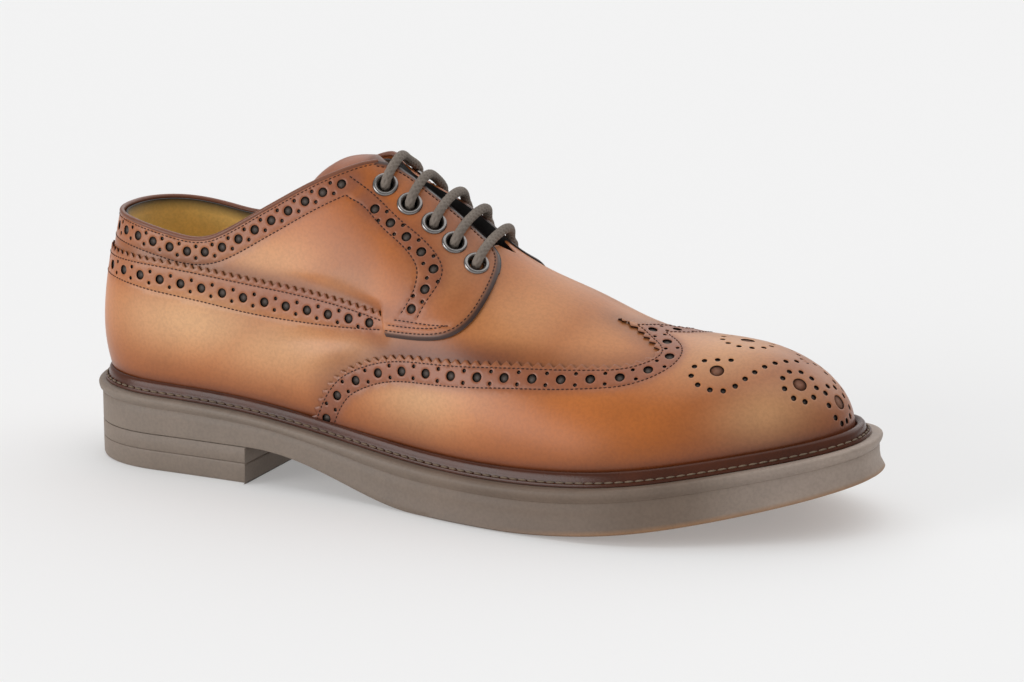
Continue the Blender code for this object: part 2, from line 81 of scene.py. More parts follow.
# %% [markdown]
# ## Looks made of nodes
# Every surface is a procedural material: noise for blotches and grain, colour ramps and a bump.
# These short functions add a node, set its sockets and join it up, so a look stays a few lines.

# %% Node helpers
def set_inputs(node, **values):
    """Sets a node's sockets by name, with an underscore for each space."""
    for name, value in values.items():
        node.inputs[name.replace("_", " ")].default_value = value


def add_node(tree, kind, links=None, **values):
    """A shader node: values set its sockets or settings, links join sockets by name."""
    made = tree.nodes.new(kind)
    for name, value in values.items():
        socket = made.inputs.get(name.replace("_", " ").title())
        if socket is not None:
            socket.default_value = value
        else:
            setattr(made, name, value)
    for name, source in (links or {}).items():
        tree.links.new(source, made.inputs[name])
    return made


def new_look(name):
    look = bpy.data.materials.new(name)
    look.use_nodes = True
    return look, look.node_tree, look.node_tree.nodes["Principled BSDF"]


def ramp_node(tree, source, stops):
    """A ramp between grey levels, each given with its place."""
    made = add_node(tree, "ShaderNodeValToRGB", links={"Fac": source})
    for element, (place, grey) in zip(made.color_ramp.elements, stops):
        element.position = place
        element.color = (grey, grey, grey, 1)
    return made.outputs["Color"]


# %% [markdown]
# ## Floor and light
# The shoe stands on one large pale plane that glows a little, so its shadows stay light. The key is
# a low soft source from the left, and a broad one stands behind and above, as in a product studio.

# %% Floor and light
WHITE, FLOOR_GREY = (1.0, 1.0, 1.0, 1), (0.61, 0.61, 0.61, 1)
FLOOR_SIZE, FLOOR_GLOW, SKY_STRENGTH = 14, 0.26, 0.44

bpy.ops.object.select_all(action="DESELECT")
bpy.ops.mesh.primitive_plane_add(size=FLOOR_SIZE, location=(0, 0, 0))
floor = bpy.context.object
floor.name = "studio_floor"
floor_look, _, floor_shader = new_look("pale_paper")
set_inputs(floor_shader, Base_Color=FLOOR_GREY, Emission_Color=WHITE, Emission_Strength=FLOOR_GLOW,
           Roughness=0.9, Specular_IOR_Level=0.1)
floor.data.materials.append(floor_look)

world = bpy.context.scene.world or bpy.data.worlds.new("studio")
bpy.context.scene.world = world
world.use_nodes = True
set_inputs(world.node_tree.nodes["Background"], Color=WHITE, Strength=SKY_STRENGTH)
bpy.context.scene.view_settings.view_transform = "Standard"


def add_sun(name, direction, strength, softness):
    bpy.ops.object.light_add(type="SUN", location=Vector(direction) * 2)
    lamp = bpy.context.object
    lamp.name = name
    lamp.rotation_euler = Vector(direction).to_track_quat("Z", "Y").to_euler()
    lamp.data.energy = strength
    lamp.data.angle = math.radians(softness)


add_sun("key_light", (-0.64, -0.76, 0.12), 2.1, 44)
add_sun("back_light", (0.05, 0.50, 0.87), 1.75, 100)
print("light set")


# %% [markdown]
# ## The last
# A last is the wooden foot that a shoe is pulled over. Here it is a row of cross-sections from the
# heel to the toe. Each section is one smooth curve from the welt up to the ridge over the instep,
# and short tables give its width, height and fullness. Every leather piece below is laid on it.

# %% Tables of the last and the sole
def table(columns, rows):
    return dict(zip(columns.split(), np.array(rows, float).T))


SOLE_LENGTH, LAST_HEEL, LAST_TOE = 0.303, 0.0069, 0.2914
HEEL_BREAST, HEEL_TOP, LIFT_TOP = 0.077, 0.0136, 0.0076
ARCH_END, TOE_SPRING, SPRING_START = 0.148, 0.019, 0.185
FOOT_CLEARANCE = 0.0011
HEEL_ROUND, HEEL_POWER = 0.040, 2.3
TOE_ROUND, TOE_POWER = 0.205, 2.25
TOE_DROP, TOE_DROP_POWER = 0.240, 2.3
SPRING_POWER = 1.7

SOLE_PLAN = table("x lateral medial", [
    (0.000, 0.0362, 0.0360), (0.040, 0.0368, 0.0372), (0.077, 0.0392, 0.0360),
    (0.110, 0.0420, 0.0328), (0.140, 0.0482, 0.0338), (0.170, 0.0550, 0.0395),
    (0.205, 0.0581, 0.0480), (0.235, 0.0560, 0.0525), (0.265, 0.0480, 0.0530),
    (0.303, 0.0398, 0.0500)])
LEDGE = table("x height", [
    (0.000, 0.0291), (0.040, 0.0278), (0.077, 0.0258), (0.110, 0.0212), (0.140, 0.0178),
    (0.175, 0.0166), (0.205, 0.0175), (0.235, 0.0207), (0.260, 0.0246), (0.282, 0.0284),
    (0.303, 0.0325)])
LAST_PLAN = table("x lateral medial", [
    (0.0069, 0.0296, 0.0298), (0.040, 0.0300, 0.0304), (0.077, 0.0319, 0.0290),
    (0.110, 0.0337, 0.0255), (0.140, 0.0381, 0.0252), (0.170, 0.0444, 0.0298),
    (0.205, 0.0470, 0.0374), (0.235, 0.0449, 0.0414), (0.262, 0.0380, 0.0418),
    (0.2914, 0.0310, 0.0395)])
SECTIONS = table("x ridge lateral_swell medial_swell shoulder crown", [
    (0.0069, 0.1680, 0.0040, 0.0040, 0.30, 0.60), (0.0400, 0.1630, 0.0040, 0.0040, 0.30, 0.58),
    (0.0770, 0.1500, 0.0040, 0.0050, 0.32, 0.58), (0.1100, 0.1255, 0.0040, 0.0060, 0.38, 0.64),
    (0.1430, 0.1020, 0.0045, 0.0060, 0.46, 0.70), (0.1630, 0.0872, 0.0045, 0.0055, 0.48, 0.68),
    (0.1735, 0.0815, 0.0045, 0.0050, 0.48, 0.66), (0.1950, 0.0733, 0.0045, 0.0050, 0.48, 0.65),
    (0.2130, 0.0655, 0.0045, 0.0050, 0.48, 0.66), (0.2350, 0.0609, 0.0045, 0.0050, 0.50, 0.67),
    (0.2620, 0.0610, 0.0045, 0.0050, 0.50, 0.67), (0.2914, 0.0610, 0.0040, 0.0040, 0.50, 0.67)])
HEEL_CURVE = table("x shift", [
    (0.000, 0.0000), (0.012, -0.0036), (0.026, -0.0042), (0.045, -0.0016), (0.061, 0.0016),
    (0.100, 0.0100)])
HEEL_CURVE_REACH = 0.055


# %% [markdown]
# ## Curves
# A table gives a size at a few stations. A natural cubic spline draws the smooth line through them,
# as a bent batten does on a drawing board. Ramps and roundings blend one form into the next.

# %% Curves
def smooth(columns, column, x, against="x"):
    """A natural cubic spline through one column of a table."""
    knots, values = columns[against], columns[column]
    steps = np.diff(knots)
    count = len(knots)
    matrix, bends = np.eye(count), np.zeros(count)
    for i in range(1, count - 1):
        matrix[i, i - 1:i + 2] = steps[i - 1], 2 * (steps[i - 1] + steps[i]), steps[i]
        slopes = np.diff(values[i - 1:i + 2]) / steps[i - 1:i + 1]
        bends[i] = 6 * (slopes[1] - slopes[0])
    bends = np.linalg.solve(matrix, bends)
    x = np.clip(x, knots[0], knots[-1])
    i = np.clip(np.searchsorted(knots, x) - 1, 0, count - 2)
    left, right, width = x - knots[i], knots[i + 1] - x, steps[i]
    curve = (bends[i] * right ** 3 + bends[i + 1] * left ** 3) / (6 * width)
    curve = curve + (values[i] / width - bends[i] * width / 6) * right
    return curve + (values[i + 1] / width - bends[i + 1] * width / 6) * left


def drawn(columns, names, count):
    """A smooth line through a table's points, for edges that double back."""
    rows = np.stack([columns[name] for name in names.split()], -1)
    scaled = rows / np.ptp(rows, axis=0)
    lengths = np.linalg.norm(np.diff(scaled, axis=0), axis=1)
    path = dict(columns, step=np.concatenate([[0], np.cumsum(lengths)]) / lengths.sum())
    shares = np.linspace(0, 1, count)
    return np.stack([smooth(path, name, shares, against="step") for name in names.split()], -1)


def rounding(x, start, end, power):
    share = np.clip((x - start) / (end - start), 0, 1)
    return (1 - share ** power) ** (1 / power)


def ramp(value, low, high):
    share = np.clip((value - low) / (high - low), 0, 1)
    return share * share * (3 - 2 * share)


def fade(value, low, high):
    return 1 - ramp(value, low, high)


def cosine_steps(count):
    return (1 - np.cos(np.linspace(0, math.pi, count))) / 2


def full_turn(count):
    """Angles evenly round a circle."""
    return np.linspace(0, 2 * math.pi, count, endpoint=False)


def unit(ways):
    return ways / np.maximum(np.linalg.norm(ways, axis=-1, keepdims=True), 1e-12)


# %% [markdown]
# ## The lasted surface
# Each section is a Bezier curve from the welt to the ridge: its foot, its swell, its shoulder and
# its crown. The heel leans in its own curve, and both ends are rounded off. A panel lies some
# tenths of a millimetre outside this surface, along its normal.

# %% The lasted surface
X_STEP, RISE_STEP, ON_RIDGE = 0.0002, 0.001, 0.9995


def as_arrays(*values):
    return np.broadcast_arrays(*(np.asarray(value, float) for value in values))


def ledge(x):
    return smooth(LEDGE, "height", x)


def underside(x):
    arch = HEEL_TOP * fade(x, HEEL_BREAST, ARCH_END)
    spring = np.clip((x - SPRING_START) / (SOLE_LENGTH - SPRING_START), 0, 1)
    return arch + TOE_SPRING * spring ** SPRING_POWER


def lasted(x, side, rise):
    """The last's surface: rise 0 at the welt, 1 on the ridge over the instep."""
    x, side, rise = as_arrays(x, side, rise)
    outer = side < 0
    foot = np.where(outer, smooth(LAST_PLAN, "lateral", x), smooth(LAST_PLAN, "medial", x))
    swell = np.where(outer, smooth(SECTIONS, "lateral_swell", x),
                     smooth(SECTIONS, "medial_swell", x))
    ends = (rounding(x, HEEL_ROUND, LAST_HEEL, HEEL_POWER)
            * rounding(x, TOE_ROUND, LAST_TOE, TOE_POWER))
    base = ledge(x) + FOOT_CLEARANCE
    height = smooth(SECTIONS, "ridge", x) - base
    height = height * rounding(x, TOE_DROP, LAST_TOE, TOE_DROP_POWER)
    low, high = 1 - rise, rise
    out = low ** 3 * foot + 3 * low ** 2 * high * (foot + swell)
    out = (out + 3 * low * high ** 2 * smooth(SECTIONS, "crown", x) * foot) * ends
    up = 3 * low ** 2 * high * smooth(SECTIONS, "shoulder", x) + 3 * low * high ** 2 + high ** 3
    up = up * height
    heel_share = np.clip(1 - (x - LAST_HEEL) / HEEL_CURVE_REACH, 0, 1) ** 2
    lean = smooth(HEEL_CURVE, "shift", up) * heel_share
    return np.stack([x + lean, side * out, base + up], -1)


def wall_normal(x, side, rise):
    x, side, rise = as_arrays(x, side, rise)
    near = np.clip(x, LAST_HEEL + 2 * X_STEP, LAST_TOE - 2 * X_STEP)
    level = np.clip(rise, RISE_STEP, 1 - RISE_STEP)
    ahead = lasted(near + X_STEP, side, level) - lasted(near - X_STEP, side, level)
    above = lasted(near, side, level + RISE_STEP) - lasted(near, side, level - RISE_STEP)
    normal = np.cross(ahead, above) * -np.sign(side)[..., None]
    seam = (np.abs(x - LAST_HEEL) < X_STEP) | (rise > ON_RIDGE)
    normal[..., 1] = np.where(seam, 0, normal[..., 1])
    return unit(normal)


def on_wall(x, side, rise, layer):
    """A point this far outside the last, in the shoe's working axes."""
    layer = np.asarray(layer, float)
    return lasted(x, side, rise) + wall_normal(x, side, rise) * layer[..., None]


# %% [markdown]
# ## The paper pattern
# A hole that is round on the table must stay round on the toe. So the last is unrolled into a flat
# pattern: X is the distance along the shoe, and Y the distance up from the welt, or across the
# ridge for the cap. At each point the pattern knows how it is stretched, so a ring or a parallel
# line is drawn in true millimetres. Blender's constrained Delaunay triangulation then fills it.

# %% Lengths on the last
STATIONS, LEVELS = 420, 161
MID_RISE = 0.3
station_x = LAST_HEEL + (LAST_TOE - LAST_HEEL) * cosine_steps(STATIONS)
numbers = np.arange(STATIONS)
levels = np.linspace(0, 1, LEVELS)


def lengths_along(points):
    steps = np.linalg.norm(np.diff(points, axis=-2), axis=-1)
    start = np.zeros(steps.shape[:-1] + (1,))
    return np.concatenate([start, np.cumsum(steps, axis=-1)], axis=-1)


def spots(line, lengths, marks):
    """The points of a line at these lengths along it."""
    return np.stack([np.interp(marks, lengths, column) for column in line.T], -1)


girths, totals, rises_at = {}, {}, {}
along_shoe = 0
for side in (-1, 1):
    girths[side] = lengths_along(lasted(station_x[:, None], side, levels[None, :]))
    totals[side] = girths[side][:, -1]
    rises_at[side] = np.array([np.interp(levels * row[-1], row, levels) for row in girths[side]])
    along_shoe = along_shoe + lengths_along(lasted(station_x, side, MID_RISE)) / 2


def along_at(x):
    return np.interp(x, station_x, along_shoe)


def station_at(along):
    return np.interp(along, along_shoe, station_x)


def even_x(start, end, count):
    """Stations evenly spaced along the leather."""
    return station_at(np.linspace(along_at(start), along_at(end), count))


print("pattern", round(along_shoe[-1] * 1000), "mm long")

# %% The pattern
OFFSET_STEP, STRETCH_STEP = 0.0015, 0.00025
TOOTH = np.array([0.0, 0.28, 0.72, 1.0, 0.72, 0.28])


def between(grid, row, column):
    i = np.clip(row.astype(int), 0, grid.shape[0] - 2)
    j = np.clip(column.astype(int), 0, grid.shape[1] - 2)
    a, b = row - i, column - j
    low = grid[i, j] * (1 - b) + grid[i, j + 1] * b
    high = grid[i + 1, j] * (1 - b) + grid[i + 1, j + 1] * b
    return low * (1 - a) + high * a


class Pattern:
    """A flat pattern of one side of the last (-1 outer, 1 inner), or of both over the ridge (0)."""

    def __init__(self, side):
        self.side = side

    def last(self, flat):
        row = np.interp(flat[:, 0], along_shoe, numbers)
        side = np.full(len(flat), self.side) if self.side else np.where(flat[:, 1] < 0, -1, 1)
        rise = np.empty(len(flat))
        for one in (-1, 1):
            part = side == one
            total = np.maximum(np.interp(row[part], numbers, totals[one]), 1e-9)
            up = flat[part, 1] if self.side else total - np.abs(flat[part, 1])
            rise[part] = between(rises_at[one], row[part], np.clip(up / total, 0, 1) * (LEVELS - 1))
        return np.interp(row, numbers, station_x), side, rise

    def flat_of(self, x, side, rise):
        x, side, rise = as_arrays(np.atleast_1d(x), side, rise)
        row = np.interp(x, station_x, numbers)
        up = np.empty(len(row))
        for one in (-1, 1):
            part = side == one
            up[part] = between(girths[one], row[part], rise[part] * (LEVELS - 1))
            if not self.side:
                up[part] = one * (np.interp(row[part], numbers, totals[one]) - up[part])
        return np.stack([along_at(x), up], -1)

    def from_ridge(self, x, girth):
        """Points at stations x, this far down from the ridge on the leather."""
        x = np.asarray(x, float)
        return np.stack([along_at(x), np.interp(x, station_x, totals[self.side]) - girth], -1)

    def at_height(self, x, height):
        """Points at stations x where the wall passes a height above the ground."""
        rise = [np.interp(h, lasted(a, self.side, levels)[:, 2], levels) for a, h in zip(x, height)]
        return self.flat_of(x, self.side, rise)

    def place(self, flat, layer=0.0):
        return on_wall(*self.last(flat), layer)

    def stretch(self, flat):
        """How the pattern is stretched at each point: along, askew and up."""
        step = STRETCH_STEP
        flat = flat.copy()
        flat[:, 0] = np.clip(flat[:, 0], 2 * step, along_shoe[-1] - 2 * step)
        outer, inner = (np.interp(flat[:, 0], along_shoe, totals[one]) for one in (-1, 1))
        if self.side:
            low, high = 2 * step, (outer if self.side < 0 else inner) - 2 * step
        else:
            low, high = 2 * step - outer, inner - 2 * step
        flat[:, 1] = np.clip(flat[:, 1], low, np.maximum(low, high))
        sides = []
        for way in ((step, 0), (0, step)):
            ahead, behind = (lasted(*self.last(flat + np.array(way) * sign)) for sign in (1, -1))
            sides.append((ahead - behind) / (2 * step))
        across, up = sides
        a = np.linalg.norm(across, axis=1)
        b = (up * across).sum(axis=1) / a
        c = np.sqrt(np.maximum((up ** 2).sum(axis=1) - b ** 2, 1e-12))
        return a, b, c

    def moved_by(self, flat, way):
        """Moves points by true distances along and up the leather."""
        a, b, c = self.stretch(flat)
        up = way[:, 1] / c
        return flat + np.stack([(way[:, 0] - b * up) / a, up], -1)

    def offset(self, line, distance, closed=False):
        """A parallel line, this far to the left of the way that it runs."""
        count = max(1, math.ceil(abs(distance) / OFFSET_STEP))
        for _ in range(count):
            if closed:
                run = np.roll(line, -1, axis=0) - np.roll(line, 1, axis=0)
            else:
                run = np.gradient(line, axis=0)
            a, b, c = self.stretch(line)
            run = unit(np.stack([a * run[:, 0] + b * run[:, 1], c * run[:, 1]], -1))
            left = np.stack([-run[:, 1], run[:, 0]], -1)
            line = self.moved_by(line, left * distance / count)
        return line

    def even(self, line, spacing):
        """The same line with points this far apart on the leather."""
        lengths = lengths_along(lasted(*self.last(line)))
        count = max(2, round(lengths[-1] / spacing) + 1)
        return spots(line, lengths, np.linspace(0, lengths[-1], count))

    def ring(self, centre, radius, count):
        angles = full_turn(count)
        way = np.stack([np.cos(angles), np.sin(angles)], -1) * radius
        return self.moved_by(np.repeat(centre[None], count, axis=0), way)

    def pinked(self, line, pitch, depth):
        """A saw-tooth edge: its tips lie on the line, its notches to the right of it."""
        fine = self.even(line, pitch / len(TOOTH))
        share = TOOTH[np.arange(len(fine)) % len(TOOTH)]
        inner = self.offset(fine, -depth)
        return fine + (inner - fine) * share[:, None]


over_ridge = Pattern(0)
side_pattern = {side: Pattern(side) for side in (-1, 1)}
side_name = {-1: "lateral", 1: "medial"}

# %% [markdown]
# ## Cutting a panel
# On the table a panel is an outline with holes punched in it, and lines pressed where the stitches
# will go. Here the outline, the holes and the points that follow them are joined by a constrained
# triangulation, with an even grid between them. A Boolean for each hole would be slower, and would
# leave long thin faces beside it.

# %% Inside and near
def inside(points, outline):
    """Which flat points lie inside a closed line."""
    ax, ay = outline[:, 0], outline[:, 1]
    bx, by = np.roll(ax, -1), np.roll(ay, -1)
    found = []
    for some in np.array_split(points, max(1, len(points) // 2000)):
        px, py = some[:, :1], some[:, 1:]
        crosses = (ay > py) != (by > py)
        rise = np.where(by == ay, 1e-12, by - ay)
        found.append((crosses & (px < (bx - ax) * (py - ay) / rise + ax)).sum(axis=1) % 2 == 1)
    return np.concatenate(found)


def distances(points, others):
    """How far each point is from the nearest of the others."""
    others = np.asarray(others)
    flat = others.shape[1] == 2
    tree = kdtree.KDTree(len(others))
    for i, place in enumerate(others):
        tree.insert((*place, 0.0) if flat else place, i)
    tree.balance()
    return np.array([tree.find((*p, 0.0) if flat else p)[2] for p in points])


# %% Triangles of a panel
EDGE_ROUND, HOLE_ROUND, GROOVE_DEEP = 0.00022, 0.00016, 0.00016
BESIDE_EDGE, BESIDE_HOLE = (0.00045, 0.0011), (0.0003, 0.0008)
BESIDE_GROOVE = (-0.00045, 0.0, 0.00045)
HOLE_MARGIN, LARGE_FROM, LARGE_SIDES, SMALL_SIDES = 0.0002, 0.0012, 20, 12
NEAR_RADII, NEAR_MORE, FOLLOW_SHARE = 2.5, 0.002, 0.7
ROW_SHARE, CLEAR_SHARE, FLAT_TOLERANCE = 0.866, 0.62, 1e-7


def hole_ring(pattern, centre, radius, far=0.0):
    return pattern.ring(centre, radius + far, LARGE_SIDES if radius > LARGE_FROM else SMALL_SIDES)


def clear_of_holes(pattern, points, holes):
    """Which points lie outside every hole, measured on the leather."""
    clear = np.ones(len(points), bool)
    for centre, radius in holes:
        reach = NEAR_RADII * radius + NEAR_MORE
        near = np.flatnonzero(np.abs(points - centre).max(axis=1) < reach)
        a, b, c = pattern.stretch(centre[None])
        away = points[near] - centre
        true = np.hypot(a * away[:, 0] + b * away[:, 1], c * away[:, 1])
        clear[near[true < radius + HOLE_MARGIN]] = False
    return clear


def guide_points(pattern, outline, holes, grooves):
    """Points that follow the edge, the holes and the grooves, and how deep each is pressed."""
    x, y = outline.T
    inward = 1 if np.sum(x * np.roll(y, -1) - y * np.roll(x, -1)) > 0 else -1
    guides = []
    for far in BESIDE_EDGE:
        line = pattern.offset(outline, inward * far, closed=True)
        keep = inside(line, outline) & (distances(line, outline) > far * FOLLOW_SHARE)
        guides.append((line[keep], 0.0))
    for centre, radius in holes:
        guides += [(hole_ring(pattern, centre, radius, far), 0.0) for far in BESIDE_HOLE]
    for line in grooves:
        guides += [(pattern.offset(line, far), 0.0 if far else GROOVE_DEEP) for far in BESIDE_GROOVE]
    points = np.concatenate([line for line, _ in guides])
    pressed = np.concatenate([np.full(len(line), deep) for line, deep in guides])
    keep = inside(points, outline) & clear_of_holes(pattern, points, holes)
    return points[keep], pressed[keep]


def filling(outline, holes, taken, spacing):
    """An even grid inside the outline, clear of the holes and of the points taken."""
    low, high = outline.min(axis=0), outline.max(axis=0)
    columns = np.arange(low[0], high[0], spacing)
    rows = np.arange(low[1], high[1], spacing * ROW_SHARE)
    grid = np.stack(np.meshgrid(columns, rows, indexing="ij"), -1)
    grid[:, 1::2, 0] += spacing / 2
    grid = grid.reshape(-1, 2)
    grid = grid[inside(grid, outline)]
    for centre, radius in holes:
        grid = grid[np.abs(grid - centre).max(axis=1) > radius + 2 * HOLE_MARGIN]
    return grid[distances(grid, taken) > spacing * CLEAR_SHARE]


def triangulated(pattern, outline, holes, grooves, spacing):
    """Flat points, how deep each is pressed, and triangles of a panel with holes and grooves."""
    loops = [outline] + [hole_ring(pattern, *hole) for hole in holes]
    rims = np.concatenate(loops)
    guides, pressed = guide_points(pattern, outline, holes, grooves)
    grid = filling(outline, holes, np.concatenate([rims, guides]), spacing)
    flat = np.concatenate([rims, guides, grid])
    depth = np.concatenate([np.full(len(rims), HOLE_ROUND), pressed, np.zeros(len(grid))])
    depth[:len(outline)] = EDGE_ROUND
    edges, owner, start = [], np.full(len(flat), -1), 0
    for number, loop in enumerate(loops):
        count = len(loop)
        edges += [(start + i, start + (i + 1) % count) for i in range(count)]
        owner[start:start + count] = number
        start += count
    out = geometry.delaunay_2d_cdt([Vector(p) for p in flat], edges, [], 0, FLAT_TOLERANCE, True)
    points = np.array([tuple(p) for p in out[0]])
    faces = np.array([list(f) for f in out[2]])
    first = np.array([ids[0] if ids else -1 for ids in out[3]])
    depth = np.where(first >= 0, depth[first], 0.0)
    owner = np.where(first >= 0, owner[first], -1)
    kind = owner[faces]
    in_hole = (kind[:, 0] > 0) & (kind[:, 0] == kind[:, 1]) & (kind[:, 0] == kind[:, 2])
    keep = ~in_hole & inside(points[faces].mean(axis=1), outline)
    return points, depth, faces[keep]


# %% [markdown]
# ## Pieces, and laying a panel on the last
# Every finished piece is one mesh in the shoe's own place that rides with the shoe. A panel is laid
# on the last, its two halves are joined at the seam, and it is thickened inwards. Its rim takes the
# dark dye of a cut edge, and its points carry the colour of the stain.

# %% Pieces
PANEL_SHARP, PANEL_SPACING = math.radians(42), 0.0017
MERGE_DISTANCE, SEAM_TOLERANCE = 0.00002, 1e-6


def new_piece(name, points, faces, looks, nodes=()):
    """A mesh object in the object's frame, riding with the shoe."""
    mesh = bpy.data.meshes.new(name)
    mesh.from_pydata((np.asarray(points) - CENTRE).tolist(), [], [list(map(int, f)) for f in faces])
    mesh.shade_smooth()
    for look in looks:
        mesh.materials.append(look)
    piece = bpy.data.objects.new(name, mesh)
    bpy.context.scene.collection.objects.link(piece)
    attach(piece, "root")
    if nodes:
        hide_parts(*nodes)
    return piece


def paint(piece, colours):
    layer = piece.data.attributes.new("tone", "FLOAT_COLOR", "POINT")
    rgba = np.concatenate([colours, np.ones((len(colours), 1))], axis=1)
    layer.data.foreach_set("color", rgba.astype(np.float32).ravel())


def pick(piece):
    """Makes one piece the only one that is selected, and the active one."""
    bpy.ops.object.select_all(action="DESELECT")
    piece.select_set(True)
    bpy.context.view_layer.objects.active = piece


def merge(piece, distance=MERGE_DISTANCE):
    pick(piece)
    bpy.ops.object.mode_set(mode="EDIT")
    bpy.ops.mesh.select_all(action="SELECT")
    bpy.ops.mesh.remove_doubles(threshold=distance)
    bpy.ops.object.mode_set(mode="OBJECT")


def thicken(piece, thickness, rim=0, offset=-1.0):
    wall = piece.modifiers.new("thickness", "SOLIDIFY")
    wall.thickness = thickness
    wall.offset = offset
    wall.use_quality_normals = True
    wall.material_offset_rim = rim
    pick(piece)
    bpy.ops.object.modifier_apply(modifier=wall.name)
    piece.data.set_sharp_from_angle(angle=PANEL_SHARP)


# %% Laying a panel on the last
def cut_panel(name, cuts, layer_of, thickness, tone_of, nodes=()):
    """A leather panel from one or two cuts: (pattern, outline, holes, grooves)."""
    parts, count = [], 0
    for pattern, outline, holes, grooves in cuts:
        flat, depth, faces = triangulated(pattern, outline, holes, grooves, PANEL_SPACING)
        x, side, rise = pattern.last(flat)
        seam = (x < LAST_HEEL + SEAM_TOLERANCE) | (rise > ON_RIDGE)
        depth = np.where(seam & (len(cuts) > 1), 0, depth)
        points = on_wall(x, side, rise, layer_of(x, side, rise) - depth)
        a, b, c = (points[faces[:, k]] for k in range(3))
        facing = wall_normal(x, side, rise)[faces[:, 0]]
        inward = np.einsum("ij,ij->i", np.cross(b - a, c - a), facing) < 0
        faces = np.where(inward[:, None], faces[:, ::-1], faces)
        parts.append((points, faces + count, tone_of(points, x, side, rise)))
        count += len(points)
    points, faces, tones = (np.concatenate(some) for some in zip(*parts))
    piece = new_piece(name, points, faces, [leather, cut_edge], nodes)
    paint(piece, tones)
    if len(cuts) > 1:
        merge(piece)
    thicken(piece, thickness, rim=1)
    print(name, len(piece.data.polygons), "faces,", sum(len(cut[2]) for cut in cuts), "holes")


# %% [markdown]
# ## Rows of holes and stitches
# A punch with one large and two small tools makes the rows along the edges, and a machine sews
# beside them. The holes go into the cut. The stitches, and what shows through the holes, are only
# noted here: each kind is made as one mesh when all the panels are cut.

# %% Rows of holes and stitches
LARGE_HOLE, SMALL_HOLE, PAIR_SPREAD = 0.00175, 0.00070, 0.0021
STITCH_PITCH, STITCH_LENGTH, STITCH_WIDE = 0.00165, 0.00125, 0.00046
STITCH_SUNK, BACKING_WIDER = 0.28, 0.0003
LINE_STEP, FINE_STEP, CLEAR_OF_EDGE = 0.0011, 0.0005, 0.93
stitches, backings = [], []


def inner_line(pattern, line, distance):
    """A line parallel to an edge, on its right, cut off where it would cross itself."""
    moved = pattern.offset(line, -distance)
    clear = distances(pattern.place(moved), pattern.place(line)) > distance * CLEAR_OF_EDGE
    return pattern.even(moved[clear], LINE_STEP)


def punched(pattern, line, spacing):
    """Large holes evenly along a line, with a pair of small ones between them."""
    fine = pattern.even(line, FINE_STEP)
    lengths = lengths_along(lasted(*pattern.last(fine)))
    count = max(2, round(lengths[-1] / spacing))
    marks = (np.arange(count) + 0.5) * lengths[-1] / count
    gaps = np.arange(1, count) * lengths[-1] / count
    holes = [(place, LARGE_HOLE) for place in spots(fine, lengths, marks)]
    for far in (PAIR_SPREAD, -PAIR_SPREAD):
        holes += [(place, SMALL_HOLE) for place in spots(pattern.offset(fine, far), lengths, gaps)]
    return holes


def sew(pattern, rows, layer_of):
    """Notes where each stitch of some rows lies: its middle, its way and the leather's normal."""
    for row in rows:
        marks = pattern.even(row, STITCH_PITCH / 2)
        marks = marks[:len(marks) // 2 * 2]
        where = pattern.last(marks)
        points = on_wall(*where, layer_of(*where) - GROOVE_DEEP + STITCH_WIDE * STITCH_SUNK)
        normals = wall_normal(*where)
        for first, second, normal in zip(points[0::2], points[1::2], normals[0::2]):
            stitches.append(((first + second) / 2, second - first, normal))


def back_holes(pattern, holes, layer_of, deep, colour):
    """Notes a disc to close each hole from behind: its middle, normal, radius and colour."""
    where = pattern.last(np.array([place for place, _ in holes]))
    points = on_wall(*where, layer_of(*where) - deep)
    for point, normal, (_, radius) in zip(points, wall_normal(*where), holes):
        backings.append((point, normal, radius + BACKING_WIDER, colour))


# %% [markdown]
# ## Leather
# The upper is tanned calf, stained by hand: tan on the sides, rosier on the facings and strips,
# and rubbed darker beside the seams and above the welt. Paler patches in the stain are partly
# rubbed thin and partly painted highlights, and a few darker places are painted shade. Each panel
# carries that colour on its points, and one material adds pores, small blotches and a satin polish.

# %% Colours
def rgb(red, green, blue):
    """A colour from its 0 to 255 screen values."""
    values = np.array([red, green, blue]) / 255
    return np.where(values <= 0.04045, values / 12.92, ((values + 0.055) / 1.055) ** 2.4)


# The pale tan is stain rubbed thin, and also paints highlights in pale patches.
PALE_TAN_AND_HIGHLIGHT, ROSE_TAN, AMBER = rgb(212, 160, 112), rgb(146, 84, 52), rgb(176, 96, 30)
# The burnish brown is real burnish, and also painted shade where a quarter turns up to its facing.
BURNISH_AND_SHADE, TOE_BROWN, EDGE_DYE = rgb(100, 44, 16), rgb(140, 74, 38), rgb(58, 35, 28)
THREAD, WELT_BROWN, SUEDE = rgb(62, 30, 20), rgb(74, 34, 15), rgb(244, 206, 120)
RUBBER_TAUPE, RUBBER_DARK, RUBBER_AMBER = rgb(126, 112, 100), rgb(104, 86, 72), rgb(150, 108, 68)
STITCH_TAUPE, LACE_TAUPE, EYELET_METAL = rgb(110, 92, 74), rgb(122, 111, 101), rgb(138, 134, 132)
# The hole grey is painted shade inside the small holes.
HOLE_SHADE_GREY, HOLE_BROWN, LINING_BLACK = rgb(72, 61, 54), rgb(128, 80, 54), rgb(22, 18, 17)
# The tongue's dark is painted shade in the throat.
TONGUE_SHADE_DARK, RUBBER_PALE = rgb(44, 30, 25), rgb(156, 140, 128)


# %% A surface with blotches and grain
ROUGH_SPREAD, GRAIN_DEEP, COAT_ROUGH = 0.07, 0.0003, 0.30
SPECKS, SPECK_SHARE = [(0.35, 0.86), (0.6, 1.04)], 0.6


def multiplied(tree, share, first, second):
    made = add_node(tree, "ShaderNodeMix", data_type="RGBA", blend_type="MULTIPLY")
    made.inputs[0].default_value = share
    tree.links.new(first, made.inputs[6])
    tree.links.new(second, made.inputs[7])
    return made.outputs[2]


